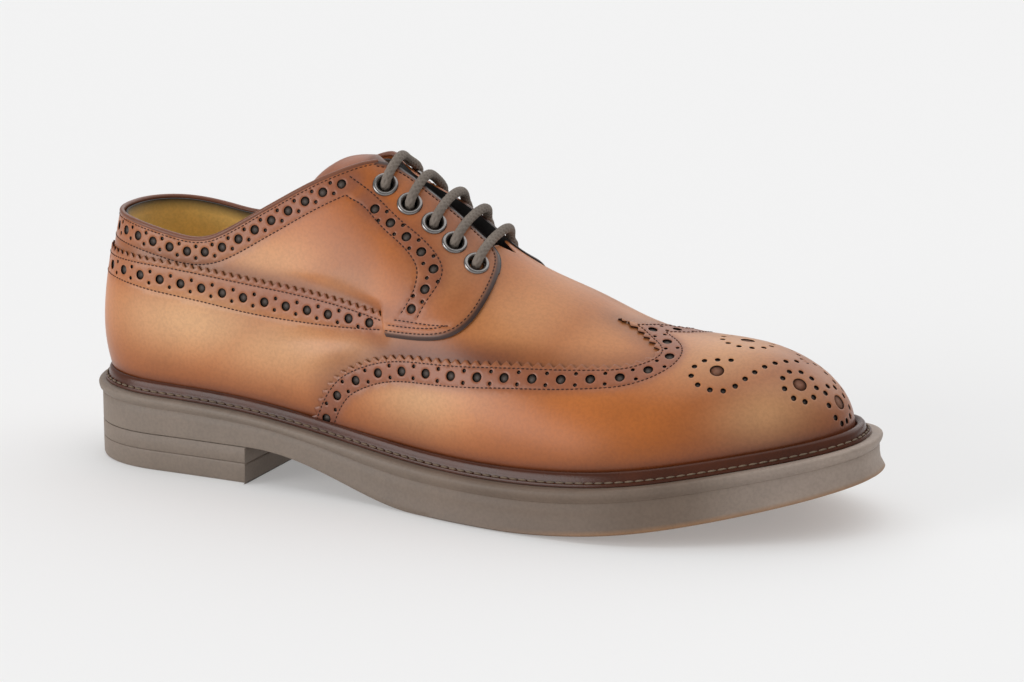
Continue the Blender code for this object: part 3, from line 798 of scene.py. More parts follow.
def surface_look(name, fixed=None, roughness=0.42, variety=0.25, blotch_scale=60.0,
                 grain_scale=900.0, grain=0.12, coat=0.0, metal=0.0, sheen=0.0, shine=0.5):
    """A material coloured by the piece's tone, or by one fixed colour."""
    look, tree, shader = new_look(name)
    place = add_node(tree, "ShaderNodeTexCoord").outputs["Object"]
    if fixed is None:
        tone = add_node(tree, "ShaderNodeAttribute", attribute_name="tone").outputs["Color"]
    else:
        tone = add_node(tree, "ShaderNodeRGB").outputs[0]
        tone.default_value = (*fixed, 1)
    blotch = add_node(tree, "ShaderNodeTexNoise", {"Vector": place}, scale=blotch_scale, detail=5.0)
    pores = add_node(tree, "ShaderNodeTexNoise", {"Vector": place}, scale=grain_scale, detail=3.0)
    patches = [(0.3, 1 - variety), (0.7, 1 + variety * 0.5)]
    tone = multiplied(tree, 1.0, tone, ramp_node(tree, blotch.outputs["Fac"], patches))
    tone = multiplied(tree, SPECK_SHARE, tone, ramp_node(tree, pores.outputs["Fac"], SPECKS))
    tree.links.new(tone, shader.inputs["Base Color"])
    gloss = add_node(tree, "ShaderNodeMapRange", {"Value": blotch.outputs["Fac"]},
                     to_min=roughness - ROUGH_SPREAD, to_max=roughness + ROUGH_SPREAD)
    tree.links.new(gloss.outputs["Result"], shader.inputs["Roughness"])
    bump = add_node(tree, "ShaderNodeBump", {"Height": pores.outputs["Fac"]},
                    strength=grain, distance=GRAIN_DEEP)
    tree.links.new(bump.outputs["Normal"], shader.inputs["Normal"])
    set_inputs(shader, Coat_Weight=coat, Coat_Roughness=COAT_ROUGH, Metallic=metal,
               Specular_IOR_Level=shine, Sheen_Weight=sheen)
    return look


# %% The shoe's looks
leather = surface_look("stained_calf", roughness=0.42, variety=0.14, blotch_scale=30.0,
                       coat=0.28, shine=0.35)
cut_edge = surface_look("dyed_edge", fixed=EDGE_DYE, roughness=0.5)
# Hole floors: mostly grey discs of painted shade inside the holes.
hole_floor_shade = surface_look("hole_floor_shade", roughness=0.6)
thread_look = surface_look("waxed_thread", fixed=THREAD, roughness=0.8, grain_scale=3000.0)
suede_look = surface_look("suede", roughness=0.85, grain=0.4, sheen=0.3)
welt_look = surface_look("polished_welt", fixed=WELT_BROWN, roughness=0.28, shine=0.3)
rubber_look = surface_look("sole_rubber", roughness=0.58, variety=0.12, grain=0.08)
black_look = surface_look("black_lining", fixed=LINING_BLACK, roughness=0.35)
cord_look = surface_look("braided_cord", fixed=LACE_TAUPE, roughness=0.7, grain_scale=2600.0,
                         grain=0.3)
taupe_thread = surface_look("welt_thread", fixed=STITCH_TAUPE, roughness=0.7, grain_scale=3000.0)
metal_look = surface_look("gunmetal", fixed=EYELET_METAL, roughness=0.24, metal=1.0, grain=0.03)
print("looks", len(bpy.data.materials))

# %% [markdown]
# ## The stain
# The stain was rubbed on by hand. A short table says where it was rubbed thin and where highlights
# are painted in as paler patches, and the functions below darken the leather beside the seams and
# above the welt. Painting on the points keeps it in the shoe's own sizes, without any image.

# %% The stain
# Where the stain is paler, rubbed thin and with painted highlights: the middle of a patch, its reach
# along and up, how pale
RUBBED_AND_HIGHLIT = table("x height along up share", [
    (0.050, 0.057, 0.034, 0.013, 1.00), (0.088, 0.051, 0.034, 0.013, 0.80),
    (0.118, 0.054, 0.022, 0.010, 0.60), (0.048, 0.078, 0.030, 0.009, 0.55),
    (0.080, 0.082, 0.026, 0.011, 0.60), (0.108, 0.076, 0.018, 0.008, 0.35),
    (0.146, 0.041, 0.022, 0.013, 0.85), (0.180, 0.070, 0.022, 0.014, 0.45),
    (0.210, 0.064, 0.022, 0.012, 0.35), (0.250, 0.062, 0.024, 0.010, 0.60),
    (0.271, 0.043, 0.015, 0.011, 0.75), (0.152, 0.082, 0.012, 0.010, 0.35)])

WELT_SHADE, WELT_SHADE_FADE = 0.55, (0.002, 0.021)
WELT_LINE, WELT_LINE_FADE = 0.35, (0.0045, 0.0090)


def blended(first, second, share):
    return first + (second - first) * np.clip(share, 0, 1)[:, None]


def plain(colour):
    """The same colour on all the points of a piece."""
    return lambda points: np.tile(colour, (len(points), 1))


def beside(points, line, reach):
    """1 on a line of points in space, fading to 0 at a distance."""
    return fade(distances(points, line), 0, reach)


def stained_with_highlights(points, base):
    """The stain on a panel: its base colour, paler where it was rubbed thin and where highlights are
    painted.
    """
    pale_share = np.zeros(len(points))
    for x, height, along, up, share in zip(*RUBBED_AND_HIGHLIT.values()):
        away = ((points[:, 0] - x) / along) ** 2 + ((points[:, 2] - height) / up) ** 2
        pale_share = np.maximum(pale_share, share * np.exp(-away))
    return blended(base, PALE_TAN_AND_HIGHLIGHT, pale_share)


def above_welt(points):
    """How far the wall is rubbed dark above the welt."""
    height = points[:, 2] - ledge(np.clip(points[:, 0], 0, SOLE_LENGTH))
    return WELT_SHADE * fade(height, *WELT_SHADE_FADE) + WELT_LINE * fade(height, *WELT_LINE_FADE)


# %% [markdown]
# ## Pattern lines
# These are the edges of the panels, measured on the outer side of the shoe in the photograph:
# along the shoe, and either the height above the ground or the distance down from the ridge.
# The inner side isn't seen, so it takes the same lines a little nearer to the ridge.

# %% Edges of the panels
COLLAR = table("x height", [
    (0.0069, 0.0918), (0.020, 0.0907), (0.029, 0.0894), (0.037, 0.0880), (0.045, 0.0867),
    (0.0526, 0.0866), (0.058, 0.0880), (0.063, 0.0904), (0.0726, 0.0961), (0.082, 0.1018),
    (0.091, 0.1071), (0.102, 0.1125), (0.108, 0.1148), (0.1124, 0.1160), (0.1161, 0.1164)])
TAB = table("x girth", [
    (0.1208, 0.0086), (0.1240, 0.0075), (0.1310, 0.0070), (0.1380, 0.0070), (0.1469, 0.0067),
    (0.1555, 0.0070), (0.1602, 0.0078), (0.1636, 0.0104), (0.1661, 0.0165), (0.1664, 0.0297),
    (0.1640, 0.0390), (0.1596, 0.0464), (0.1484, 0.0562), (0.1400, 0.0612), (0.1317, 0.0654)])
INNER_TAB = table("x girth", [
    (0.1208, 0.0058), (0.1240, 0.0048), (0.1310, 0.0042), (0.1380, 0.0040), (0.1470, 0.0040),
    (0.1555, 0.0046), (0.1625, 0.0058), (0.1675, 0.0074), (0.1703, 0.0108), (0.1712, 0.0170),
    (0.1705, 0.0270), (0.1672, 0.0370), (0.1600, 0.0448), (0.1484, 0.0532), (0.1400, 0.0582),
    (0.1317, 0.0624)])
SLIT_TOP = (0.1285, 0.0688)
STRIP_TOP = table("x height", [
    (0.0069, 0.0794), (0.033, 0.0790), (0.066, 0.0764), (0.099, 0.0732), (0.116, 0.0708),
    (0.1310, 0.0680)])
STRIP_LOW = table("x height", [
    (0.0069, 0.0694), (0.0158, 0.0689), (0.034, 0.0668), (0.054, 0.0647), (0.075, 0.0624),
    (0.096, 0.0613), (0.112, 0.0612), (0.1290, 0.0620)])
UNDER_TAB = table("x height", [
    (0.134, 0.0670), (0.140, 0.0680), (0.148, 0.0725), (0.152, 0.0765), (0.155, 0.0810),
    (0.157, 0.0850), (0.160, 0.0890)])
UNDER_CAP = table("x rise", [
    (0.240, 1.00), (0.242, 0.80), (0.228, 0.66), (0.210, 0.50), (0.185, 0.36), (0.160, 0.26),
    (0.140, 0.19), (0.126, 0.10), (0.118, 0.00)])
WING = table("x across", [
    (0.0995, -1.000), (0.1045, -0.900), (0.1095, -0.840), (0.1178, -0.785), (0.1302, -0.730),
    (0.1510, -0.662), (0.1776, -0.555), (0.1984, -0.477), (0.2117, -0.402), (0.2238, -0.308),
    (0.2272, -0.235), (0.2206, -0.145), (0.2137, -0.100), (0.2084, -0.086), (0.2125, -0.055),
    (0.2160, -0.015), (0.2206, 0.066), (0.2262, 0.150), (0.2245, 0.230), (0.2117, 0.340),
    (0.1984, 0.430), (0.1776, 0.530), (0.1510, 0.650), (0.1302, 0.730), (0.1178, 0.785),
    (0.1095, 0.840), (0.1045, 0.900), (0.0995, 1.000)])
THROAT_END = 0.1655
STRIP_RISE, STRIP_RISES = 0.0012, (0.085, 0.124)
COLLAR_LIFT, INNER_DROP, EDGE_DROP = 0.0004, 0.0026, 0.0046
MEDIAL_NEARER = 0.0030
VAMP_LAYER, CAP_LAYER, TAB_LAYER = 0.0010, 0.0020, 0.0025
QUARTER_THICK, PANEL_THICK = 0.0014, 0.0009
# Where the quarter steps up over the vamp, and where the inner facing hollows
STEP_START, STEP_END = SLIT_TOP[0] - 0.0012, SLIT_TOP[0] + 0.0015
STEP_LEVEL, STEP_SLOPE, STEP_REACH = 0.0698, 5.0, 0.045
HOLLOW_STARTS, HOLLOW_ENDS = (0.105, 0.125), (0.160, 0.171)
HOLLOW_EDGE, HOLLOW_FADE, EDGE_FADE = (0.0045, 0.0100), (0.016, 0.026), (0.120, 0.152)
EDGE_POINTS, TAB_POINTS, WING_POINTS = 170, 260, 700


# %% Lines on the pattern
def quarter_layer(x, side, rise):
    """The quarter lies on the last and steps up over the vamp; the inner facing hollows."""
    points = lasted(x, side, rise)
    out, height = np.abs(points[..., 1]), points[..., 2]
    start = STEP_START - np.minimum(STEP_SLOPE * np.maximum(0, height - STEP_LEVEL), STEP_REACH)
    layer = STRIP_RISE * ramp(x, *STRIP_RISES)
    layer = layer + (TAB_LAYER - layer) * ramp(x, start, STEP_END)
    hollow = (np.asarray(side) > 0) * ramp(x, *HOLLOW_STARTS) * fade(x, *HOLLOW_ENDS)
    edge = fade(out, *HOLLOW_EDGE)
    drop = INNER_DROP * (1 - edge) * fade(out, *HOLLOW_FADE)
    return layer - hollow * (drop + EDGE_DROP * edge * fade(x, *EDGE_FADE))


collar_lines, tab_lines, strip_lines = {}, {}, {}
for side, pattern in side_pattern.items():
    xs = even_x(LAST_HEEL, COLLAR["x"][-1], EDGE_POINTS)
    collar = pattern.at_height(xs, smooth(COLLAR, "height", xs) + COLLAR_LIFT)
    shape = TAB if side < 0 else INNER_TAB
    corner = pattern.from_ridge(shape["x"], shape["girth"])
    rows = np.concatenate([collar[-1:], corner])
    tab_lines[side] = drawn({"x": rows[:, 0], "y": rows[:, 1]}, "x y", TAB_POINTS)
    xs = even_x(LAST_HEEL, STRIP_TOP["x"][-1], EDGE_POINTS)
    strip_lines[side] = pattern.at_height(xs, smooth(STRIP_TOP, "height", xs))
    collar_lines[side] = collar
wing_x, wing_across = drawn(WING, "x across", WING_POINTS).T
wing_side = np.where(wing_across < 0, -1, 1)
wing_line = over_ridge.flat_of(wing_x, wing_side, np.clip(1 - np.abs(wing_across), 0, 1))
print("edges drawn")

# %% [markdown]
# ## Quarters
# The two quarters are the back of the upper, from the heel seam to the facings with the eyelets.
# Rows of large and small holes run along the collar and behind the eyelets, between two lines of
# stitching. Each quarter is cut in one piece with its facing, and the tab at its front rolls down a
# little at the edge. The stitch lines are pressed in, and the stitches are laid there afterwards.

# %% Rows on the quarters
EYELETS = table("x lateral medial", [
    (0.1214, 0.0171, 0.0152), (0.1313, 0.0176, 0.0152), (0.1410, 0.0180, 0.0152),
    (0.1494, 0.0190, 0.0152), (0.1585, 0.0201, 0.0154)])
EYELET_BORE = 0.0029
FACING_HOLES = table("x girth", [
    (0.1170, 0.0266), (0.1254, 0.0277), (0.1332, 0.0285), (0.1410, 0.0301), (0.1462, 0.0325),
    (0.1467, 0.0352), (0.1447, 0.0407), (0.1402, 0.0520), (0.1390, 0.0545)])
FACING_REAR = table("x girth", [
    (0.1105, 0.0298), (0.1152, 0.0289), (0.1232, 0.0308), (0.1365, 0.0333), (0.1398, 0.0355),
    (0.1410, 0.0395), (0.1369, 0.0546)])
FACING_FRONT = table("x girth", [
    (0.1087, 0.0231), (0.1178, 0.0228), (0.1298, 0.0248), (0.1410, 0.0260), (0.1484, 0.0296),
    (0.1491, 0.0345), (0.1465, 0.0430), (0.1436, 0.0520)])
TAB_ROW = table("x girth", [(0.1350, 0.0575), (0.1398, 0.0551), (0.1477, 0.0511), (0.1566, 0.0458)])
COLLAR_HOLES_END, COLLAR_STITCH_END = 0.1080, 0.1050
TAB_ROLL, TAB_ROLL_DEEP = 0.0022, 0.0006
TAB_EDGE_FROM, TAB_SECOND_FROM, FACING_POINTS = 20, 200, 120
COLLAR_HOLES_DROP, COLLAR_ROW_DROP = 0.0047, 0.0092
COLLAR_HOLE_STEP, FACING_HOLE_STEP = 0.0074, 0.0082
COLLAR_EDGE_ROW, TAB_EDGE_ROW, TAB_SECOND_ROW = 0.0012, 0.0022, 0.0042
UNDER_STRIP, STRIP_END_GAP, CLEAR_OF_SEAM, ON_SEAM = 0.0045, 0.0040, 0.0004, 1e-4
HOLE_BACK, BORE_BACK = 0.0007, 0.0034

tab_edges = {side: lasted(*side_pattern[side].last(line[TAB_EDGE_FROM:]))
             for side, line in tab_lines.items()}


def quarter_top(x, side, rise):
    """The quarter's face, rolled down towards the edge of the tab."""
    points = lasted(x, side, rise)
    away = distances(points, tab_edges[int(side[0])])
    roll = np.clip(1 - away / TAB_ROLL, 0, 1) ** 2
    return quarter_layer(x, side, rise) - TAB_ROLL_DEEP * roll


def facing_line(rows, side):
    pattern = side_pattern[side]
    x, girth = drawn(rows, "x girth", FACING_POINTS).T
    nearer = MEDIAL_NEARER if side > 0 else 0.0
    return pattern.even(pattern.from_ridge(x, girth - nearer), LINE_STEP)


def collar_line(side, end, drop):
    """A line this far below the collar, from the heel to a station."""
    collar = collar_lines[side]
    return side_pattern[side].offset(collar[station_at(collar[:, 0]) < end], -drop)


def quarter_rim(side):
    """The outline: collar, tab, slit, the edge under the strip and the heel seam."""
    pattern, collar, strip = side_pattern[side], collar_lines[side], strip_lines[side]
    hidden = pattern.offset(strip[strip[:, 0] < strip[-1, 0] - STRIP_END_GAP], -UNDER_STRIP)
    hidden[:, 0] = np.maximum(hidden[:, 0], 0)
    slit = pattern.at_height([SLIT_TOP[0]], [SLIT_TOP[1]])
    back = np.linspace(hidden[0], collar[0], 9)[1:-1]
    rim = np.concatenate([collar, tab_lines[side][1:], slit, hidden[::-1], back, collar[:1]])
    rim = pattern.even(rim, LINE_STEP)[:-1]
    rim[rim[:, 0] < ON_SEAM, 0] = 0.0
    return rim


# %% Quarters
ROW_TINT, ROW_REACH = 1.5, 0.0080
# At the back the holed strips stay paler, as painted highlight.
ROSE_UNDER_BACK_HIGHLIGHT, ROSE_FROM, QUARTER_ROSE_END, VAMP_ROSE_END = 0.6, 0.05, 0.09, 0.10
FACING_ROSE, FACING_STARTS = 0.4, (0.125, 0.140)
# Where the quarter turns up to the facing it is darkened as painted shade.
FACING_PAINTED_SHADE, SHADE_STARTS, SHADE_ENDS = 0.25, (0.092, 0.112), (0.118, 0.130)
STRIP_SHADE, STRIP_REACH = 0.6, 0.006
TAB_DYE, TAB_REACH = 1.3, 0.0032


def rosy_past_back_highlight(x, end):
    """The holed strips are rosier towards the front, and paler at the back as painted highlight."""
    return ROSE_UNDER_BACK_HIGHLIGHT + (1 - ROSE_UNDER_BACK_HIGHLIGHT) * ramp(x, ROSE_FROM, end)


def quarter_tones(strip_edge, tab_edge, decorated):
    """How a quarter is coloured: rosy along its holes, paler at the back and in patches as painted
    highlight, dark beside its seams, and darkened as painted shade where it turns up to the facing.
    """
    def tone_of(points, x, side, rise):
        on_strip = np.clip(ROW_TINT * beside(points, decorated, ROW_REACH), 0, 1)
        tone = blended(stained_with_highlights(points, AMBER), ROSE_TAN, on_strip * rosy_past_back_highlight(x, QUARTER_ROSE_END))
        tone = blended(tone, ROSE_TAN, FACING_ROSE * ramp(x, *FACING_STARTS))
        shade = FACING_PAINTED_SHADE * ramp(x, *SHADE_STARTS) * fade(x, *SHADE_ENDS)
        seam = STRIP_SHADE * beside(points, strip_edge, STRIP_REACH)
        tone = blended(tone, BURNISH_AND_SHADE, np.maximum(shade, seam))
        return blended(tone, EDGE_DYE, TAB_DYE * beside(points, tab_edge, TAB_REACH))
    return tone_of


for side, pattern in side_pattern.items():
    tab = tab_lines[side]
    collar_holes = collar_line(side, COLLAR_HOLES_END, COLLAR_HOLES_DROP)
    facing_holes = facing_line(FACING_HOLES, side)
    holes = punched(pattern, collar_holes, COLLAR_HOLE_STEP)
    holes += punched(pattern, facing_holes, FACING_HOLE_STEP)
    lower = pattern.even(collar_line(side, COLLAR_STITCH_END, COLLAR_ROW_DROP), LINE_STEP)
    rows = [inner_line(pattern, collar_lines[side], COLLAR_EDGE_ROW),
            inner_line(pattern, tab, TAB_EDGE_ROW),
            np.concatenate([lower, facing_line(FACING_REAR, side)]),
            facing_line(FACING_FRONT, side), facing_line(TAB_ROW, side),
            inner_line(pattern, tab[TAB_SECOND_FROM:], TAB_SECOND_ROW)]
    rows = [row[row[:, 0] > CLEAR_OF_SEAM] for row in rows]
    sew(pattern, rows, quarter_top)
    back_holes(pattern, holes, quarter_top, HOLE_BACK, HOLE_SHADE_GREY)
    seats = pattern.from_ridge(EYELETS["x"], EYELETS[side_name[side]])
    bores = [(place, EYELET_BORE) for place in seats]
    back_holes(pattern, bores, quarter_top, BORE_BACK, LINING_BLACK)
    decorated = np.concatenate([pattern.place(collar_holes), pattern.place(facing_holes)])
    tones = quarter_tones(pattern.place(strip_lines[side]), pattern.place(tab, TAB_LAYER), decorated)
    cut_panel("quarter_" + side_name[side], [(pattern, quarter_rim(side), holes + bores, rows)],
              quarter_top, QUARTER_THICK, tones,
              ("upper", "facing_lateral", "facing_medial") if side < 0 else ())

# %% [markdown]
# ## Vamp
# The vamp runs under the cap and the tabs, and its strip goes round the back of the shoe over the
# quarters. The strip's upper edge is pinked, which means cut with a saw-tooth blade. Ahead of the
# strip's end the leather creases softly, so a few troughs and a ridge are pressed into its face.

# %% The vamp's face
PINK_PITCH, PINK_DEPTH = 0.0033, 0.0017
STRIP_HOLE_STEP, STRIP_ROW_DROP, STRIP_HOLE_BACK = 0.0086, 0.0031, 0.0008
STRIP_LEVELS, STRIP_FALLS = (-0.006, 0.001), (0.1300, 0.1345)
RIDGE_POINTS, UNDER_POINTS, FOOT_POINTS, BACK_POINTS, UNDER_STEP = 60, 80, 110, 40, 0.0012
# Creases: the middle of a trough, the way it runs, how wide it is and how deep
CREASES = table("x height along up wide deep", [
    (0.1000, 0.0560, 0.011, 0.0018, 0.0030, 0.00040),
    (0.1100, 0.0515, 0.012, 0.0045, 0.0032, -0.00034),
    (0.1225, 0.0552, 0.001, 0.0036, 0.0013, 0.00018),
    (0.1262, 0.0546, 0.001, 0.0036, 0.0013, 0.00018),
    (0.1299, 0.0540, 0.001, 0.0036, 0.0013, 0.00018)])


def creased(x, height):
    """How deep the soft troughs lie in the side; a ridge is a trough of negative depth."""
    deep = 0.0
    for at_x, at_height, along, up, wide, depth in zip(*CREASES.values()):
        run = np.hypot(along, up)
        ahead = ((x - at_x) * along + (height - at_height) * up) / run
        beyond = ((height - at_height) * along - (x - at_x) * up) / run
        deep = deep + depth * np.exp(-(ahead / run) ** 2 - (beyond / wide) ** 2)
    return deep


def vamp_top(x, side, rise):
    """The vamp's face; its punched strip rises with the quarter below it, up to the slit."""
    height = lasted(x, side, rise)[..., 2]
    level = height - smooth(STRIP_LOW, "height", x)
    rises = ramp(x, *STRIP_RISES) * fade(x, *STRIP_FALLS)
    return VAMP_LAYER + STRIP_RISE * rises * ramp(level, *STRIP_LEVELS) - creased(x, height)


def vamp_rim(side):
    """The outline: teeth, the edge under the tab, the ridge, the edge under the cap, the foot."""
    pattern = side_pattern[side]
    teeth = pattern.pinked(strip_lines[side], PINK_PITCH, PINK_DEPTH)
    under = pattern.at_height(UNDER_TAB["x"], UNDER_TAB["height"])
    ridge = pattern.flat_of(even_x(THROAT_END, UNDER_CAP["x"][0], RIDGE_POINTS), side, 1.0)
    under = pattern.even(np.concatenate([under, ridge[:1]]), UNDER_STEP)[:-1]
    front_x, front_rise = drawn(UNDER_CAP, "x rise", UNDER_POINTS).T
    front = pattern.flat_of(front_x, side, np.clip(front_rise, 0, 1))
    foot = pattern.flat_of(even_x(LAST_HEEL, UNDER_CAP["x"][-1], FOOT_POINTS), side, 0.0)
    back = np.linspace(foot[0], teeth[0], BACK_POINTS)[1:-1]
    return np.concatenate([teeth, under, ridge, front[1:-1], foot[::-1], back])


# %% Vamp
STRIP_TINT, STRIP_TINT_REACH, BEFORE_SLIT = 1.9, 0.0165, (0.125, 0.135)
TEETH_DYE, TEETH_REACH = 0.6, 0.0034
WING_SHADE, WING_REACH = 0.85, 0.011
WING_RISES, WING_FALLS = (0.115, 0.140), (0.17, 0.20)
strip_x = even_x(LAST_HEEL, STRIP_LOW["x"][-1], 150)
high = smooth(STRIP_TOP, "height", strip_x) - STRIP_ROW_DROP
low = smooth(STRIP_LOW, "height", strip_x)
wing_edge = over_ridge.place(wing_line, VAMP_LAYER)
strip_edge = np.concatenate([side_pattern[side].place(strip_lines[side]) for side in (-1, 1)])


def vamp_tone(points, x, side, rise):
    """Rosy on the strip, paler at its back and in patches as painted highlight, burnished at its
    teeth, beside the wing and above the welt.
    """
    before_slit = fade(x, *BEFORE_SLIT)
    on_strip = np.clip(STRIP_TINT * beside(points, strip_edge, STRIP_TINT_REACH), 0, 1) * before_slit
    teeth_dye = TEETH_DYE * beside(points, strip_edge, TEETH_REACH) * before_slit
    tone = blended(stained_with_highlights(points, AMBER), ROSE_TAN, on_strip * rosy_past_back_highlight(x, VAMP_ROSE_END))
    near_wing = beside(points, wing_edge, WING_REACH) * (1 - 0.5 * ramp(x, *WING_FALLS))
    near_wing = near_wing * (0.5 + 0.5 * ramp(x, *WING_RISES))
    dark = np.maximum.reduce([WING_SHADE * near_wing, above_welt(points), teeth_dye])
    return blended(tone, BURNISH_AND_SHADE, dark)


cuts = []
for side, pattern in side_pattern.items():
    holes = punched(pattern, pattern.at_height(strip_x, (high + low) / 2), STRIP_HOLE_STEP)
    rows = [pattern.even(pattern.at_height(strip_x, height), LINE_STEP)[1:] for height in (high, low)]
    sew(pattern, rows, vamp_top)
    back_holes(pattern, holes, vamp_top, STRIP_HOLE_BACK, HOLE_SHADE_GREY)
    cuts.append((pattern, vamp_rim(side), holes, rows))
cut_panel("vamp_leather", cuts, vamp_top, PANEL_THICK, vamp_tone, ("vamp",))

# %% [markdown]
# ## Wing cap
# The toe cap's edge sweeps back along both sides like a wing, with pinked teeth and a row of holes.
# On the toe a medallion is punched: curves and rings of small holes round five large ones. The cap
# is cut over the ridge in one pattern, so no curve is broken at the middle.

# %% The cap's rows and medallion
MEDALLION_LARGE = table("x girth", [
    (0.2513, -0.0218), (0.2531, 0.0041), (0.2774, -0.0109), (0.2881, -0.0015), (0.2815, 0.0125)])
MEDALLION_CURVE = table("x girth", [
    (0.2541, -0.0150), (0.2500, -0.0165), (0.2457, -0.0185), (0.2435, -0.0221), (0.2432, -0.0255),
    (0.2452, -0.0289), (0.2495, -0.0302), (0.2541, -0.0295), (0.2580, -0.0264), (0.2604, -0.0224),
    (0.2645, -0.0140), (0.2687, -0.0065), (0.2740, 0.0023), (0.2761, 0.0076)])
INNER_CURVE = table("x girth", [
    (0.2625, 0.0110), (0.2647, 0.0112), (0.2693, 0.0086), (0.2730, 0.0040)])
# Rings of small holes: which large hole, how far round it, how many
MEDALLION_RINGS = table("centre radius count", [
    (1, 0.0088, 12), (2, 0.0061, 9), (3, 0.0064, 10), (4, 0.0061, 9)])
MEDALLION_HOLE, MEDALLION_SMALL, MEDALLION_STEP = 0.0025, 0.00098, 0.0046
CAP_PITCH, CAP_DEPTH = 0.0038, 0.0018
CAP_ROWS, CAP_HOLES_IN, CAP_HOLE_STEP = (0.0026, 0.0096), 0.0060, 0.0102
CAP_HOLE_BACK, MEDALLION_BACK = 0.0008, 0.0006


def cap_top(x, side, rise):
    return np.full(len(x), CAP_LAYER)


def cap_point(x, girth):
    return np.stack([along_at(x), girth], -1)


rows = [inner_line(over_ridge, wing_line, far) for far in CAP_ROWS]
holed = inner_line(over_ridge, wing_line, CAP_HOLES_IN)
strip_holes = punched(over_ridge, holed, CAP_HOLE_STEP)
large = cap_point(MEDALLION_LARGE["x"], MEDALLION_LARGE["girth"])
small = []
for curve in (MEDALLION_CURVE, INNER_CURVE):
    small += list(over_ridge.even(cap_point(*drawn(curve, "x girth", 200).T), MEDALLION_STEP))
for centre, radius, count in zip(*MEDALLION_RINGS.values()):
    small += list(over_ridge.ring(large[int(centre)], radius, int(count)))
medallion = [(place, MEDALLION_SMALL) for place in small]
large_holes = [(place, MEDALLION_HOLE) for place in large]
sew(over_ridge, rows, cap_top)
back_holes(over_ridge, strip_holes + medallion, cap_top, CAP_HOLE_BACK, HOLE_SHADE_GREY)
back_holes(over_ridge, large_holes, cap_top, MEDALLION_BACK, HOLE_BROWN)
print("medallion", len(medallion), "small holes")

# %% Wing cap
WING_DYE, WING_DYE_REACH = 0.75, 0.0030
TOE_SHARE, TOE_DARKENS = 0.8, (0.230, 0.270)
cap_edge = over_ridge.place(holed, CAP_LAYER)
teeth = over_ridge.pinked(wing_line, CAP_PITCH, CAP_DEPTH)
foot_x = even_x(WING["x"][0], LAST_TOE, 230)
rim = np.concatenate([teeth, over_ridge.flat_of(foot_x, 1, 0.0)[1:],
                      over_ridge.flat_of(foot_x, -1, 0.0)[-2:0:-1]])


# The cap's pale patches, as on the top of the toe, are painted highlights in the stain.
def cap_tone(points, x, side, rise):
    base = blended(AMBER, TOE_BROWN, TOE_SHARE * ramp(x, *TOE_DARKENS))
    tone = blended(stained_with_highlights(points, base), ROSE_TAN, ROW_TINT * beside(points, cap_edge, ROW_REACH))
    tone = blended(tone, BURNISH_AND_SHADE, WING_DYE * beside(points, wing_edge, WING_DYE_REACH))
    return blended(tone, BURNISH_AND_SHADE, above_welt(points))


cut_panel("wing_leather", [(over_ridge, rim, strip_holes + medallion + large_holes, rows)], cap_top,
          PANEL_THICK, cap_tone, ("wing_cap",))

# %% [markdown]
# ## What shows in the holes, and the thread
# Through a punched hole the backing is seen, dark grey or brown; the grey is painted shade inside
# the hole. A small closed disc behind each hole does the same. Each stitch is a short swollen thread
# that dives in at both ends. Many small copies are joined into one mesh of each kind, which is
# lighter than an object for each.

# %% Hole floors
DISC_SIDES, DISC_DEEP, DISC_HINT = 12, 0.0003, np.array([1.0, 0.13, 0.07])


def scatter(name, rows, look):
    """One mesh of many small copies: each row is (points, faces) of one copy."""
    points, faces, count = [], [], 0
    for some, around in rows:
        points.append(some)
        faces += [[count + k for k in face] for face in around]
        count += len(some)
    piece = new_piece(name, np.concatenate(points), faces, [look])
    print(name, len(rows), "copies,", len(faces), "faces")
    return piece


def square_axes(axis, hint):
    first = unit(hint - axis * np.dot(hint, axis))
    return first, np.cross(axis, first)


angles = full_turn(DISC_SIDES)[:, None]
disc_faces = [[DISC_SIDES, k, (k + 1) % DISC_SIDES] for k in range(DISC_SIDES)]
disc_faces += [[DISC_SIDES + 1, (k + 1) % DISC_SIDES, k] for k in range(DISC_SIDES)]
discs = []
for point, normal, radius, _ in backings:
    flat, other = square_axes(normal, DISC_HINT)
    loop = point + (np.cos(angles) * flat + np.sin(angles) * other) * radius
    discs.append((np.vstack([loop, point, point - normal * DISC_DEEP]), disc_faces))
# Most discs are grey: painted shade inside the holes.
shade_discs = scatter("hole_floor_shade_discs", discs, hole_floor_shade)
paint(shade_discs, np.repeat([colour for *_, colour in backings], DISC_SIDES + 2, axis=0))

# %% Stitches
STITCH_SIDES = 6
STITCH_RINGS = table("along wide", [(-0.72, 0.62), (-0.30, 1.0), (0.30, 1.0), (0.72, 0.62)])
turns = full_turn(STITCH_SIDES)[:, None]
last_ring = (len(STITCH_RINGS["along"]) - 1) * STITCH_SIDES
first_end = last_ring + STITCH_SIDES
stitch_faces = []
for ring in range(0, last_ring, STITCH_SIDES):
    for k in range(STITCH_SIDES):
        a, b = ring + k, ring + (k + 1) % STITCH_SIDES
        stitch_faces.append([a + STITCH_SIDES, b + STITCH_SIDES, b, a])
for k in range(STITCH_SIDES):
    after = (k + 1) % STITCH_SIDES
    stitch_faces.append([first_end, k, after])
    stitch_faces.append([first_end + 1, last_ring + after, last_ring + k])


def one_stitch(middle, way, normal, length, wide):
    way = unit(way)
    up, across = square_axes(way, normal)
    circle = np.cos(turns) * across + np.sin(turns) * up
    loops = [middle + way * (length / 2 * s) + circle * (wide / 2 * w)
             for s, w in zip(*STITCH_RINGS.values())]
    ends = [middle - way * length / 2, middle + way * length / 2]
    return np.vstack(loops + ends), stitch_faces


sewn = [one_stitch(*row, STITCH_LENGTH, STITCH_WIDE) for row in stitches]
scatter("seam_stitches", sewn, thread_look)


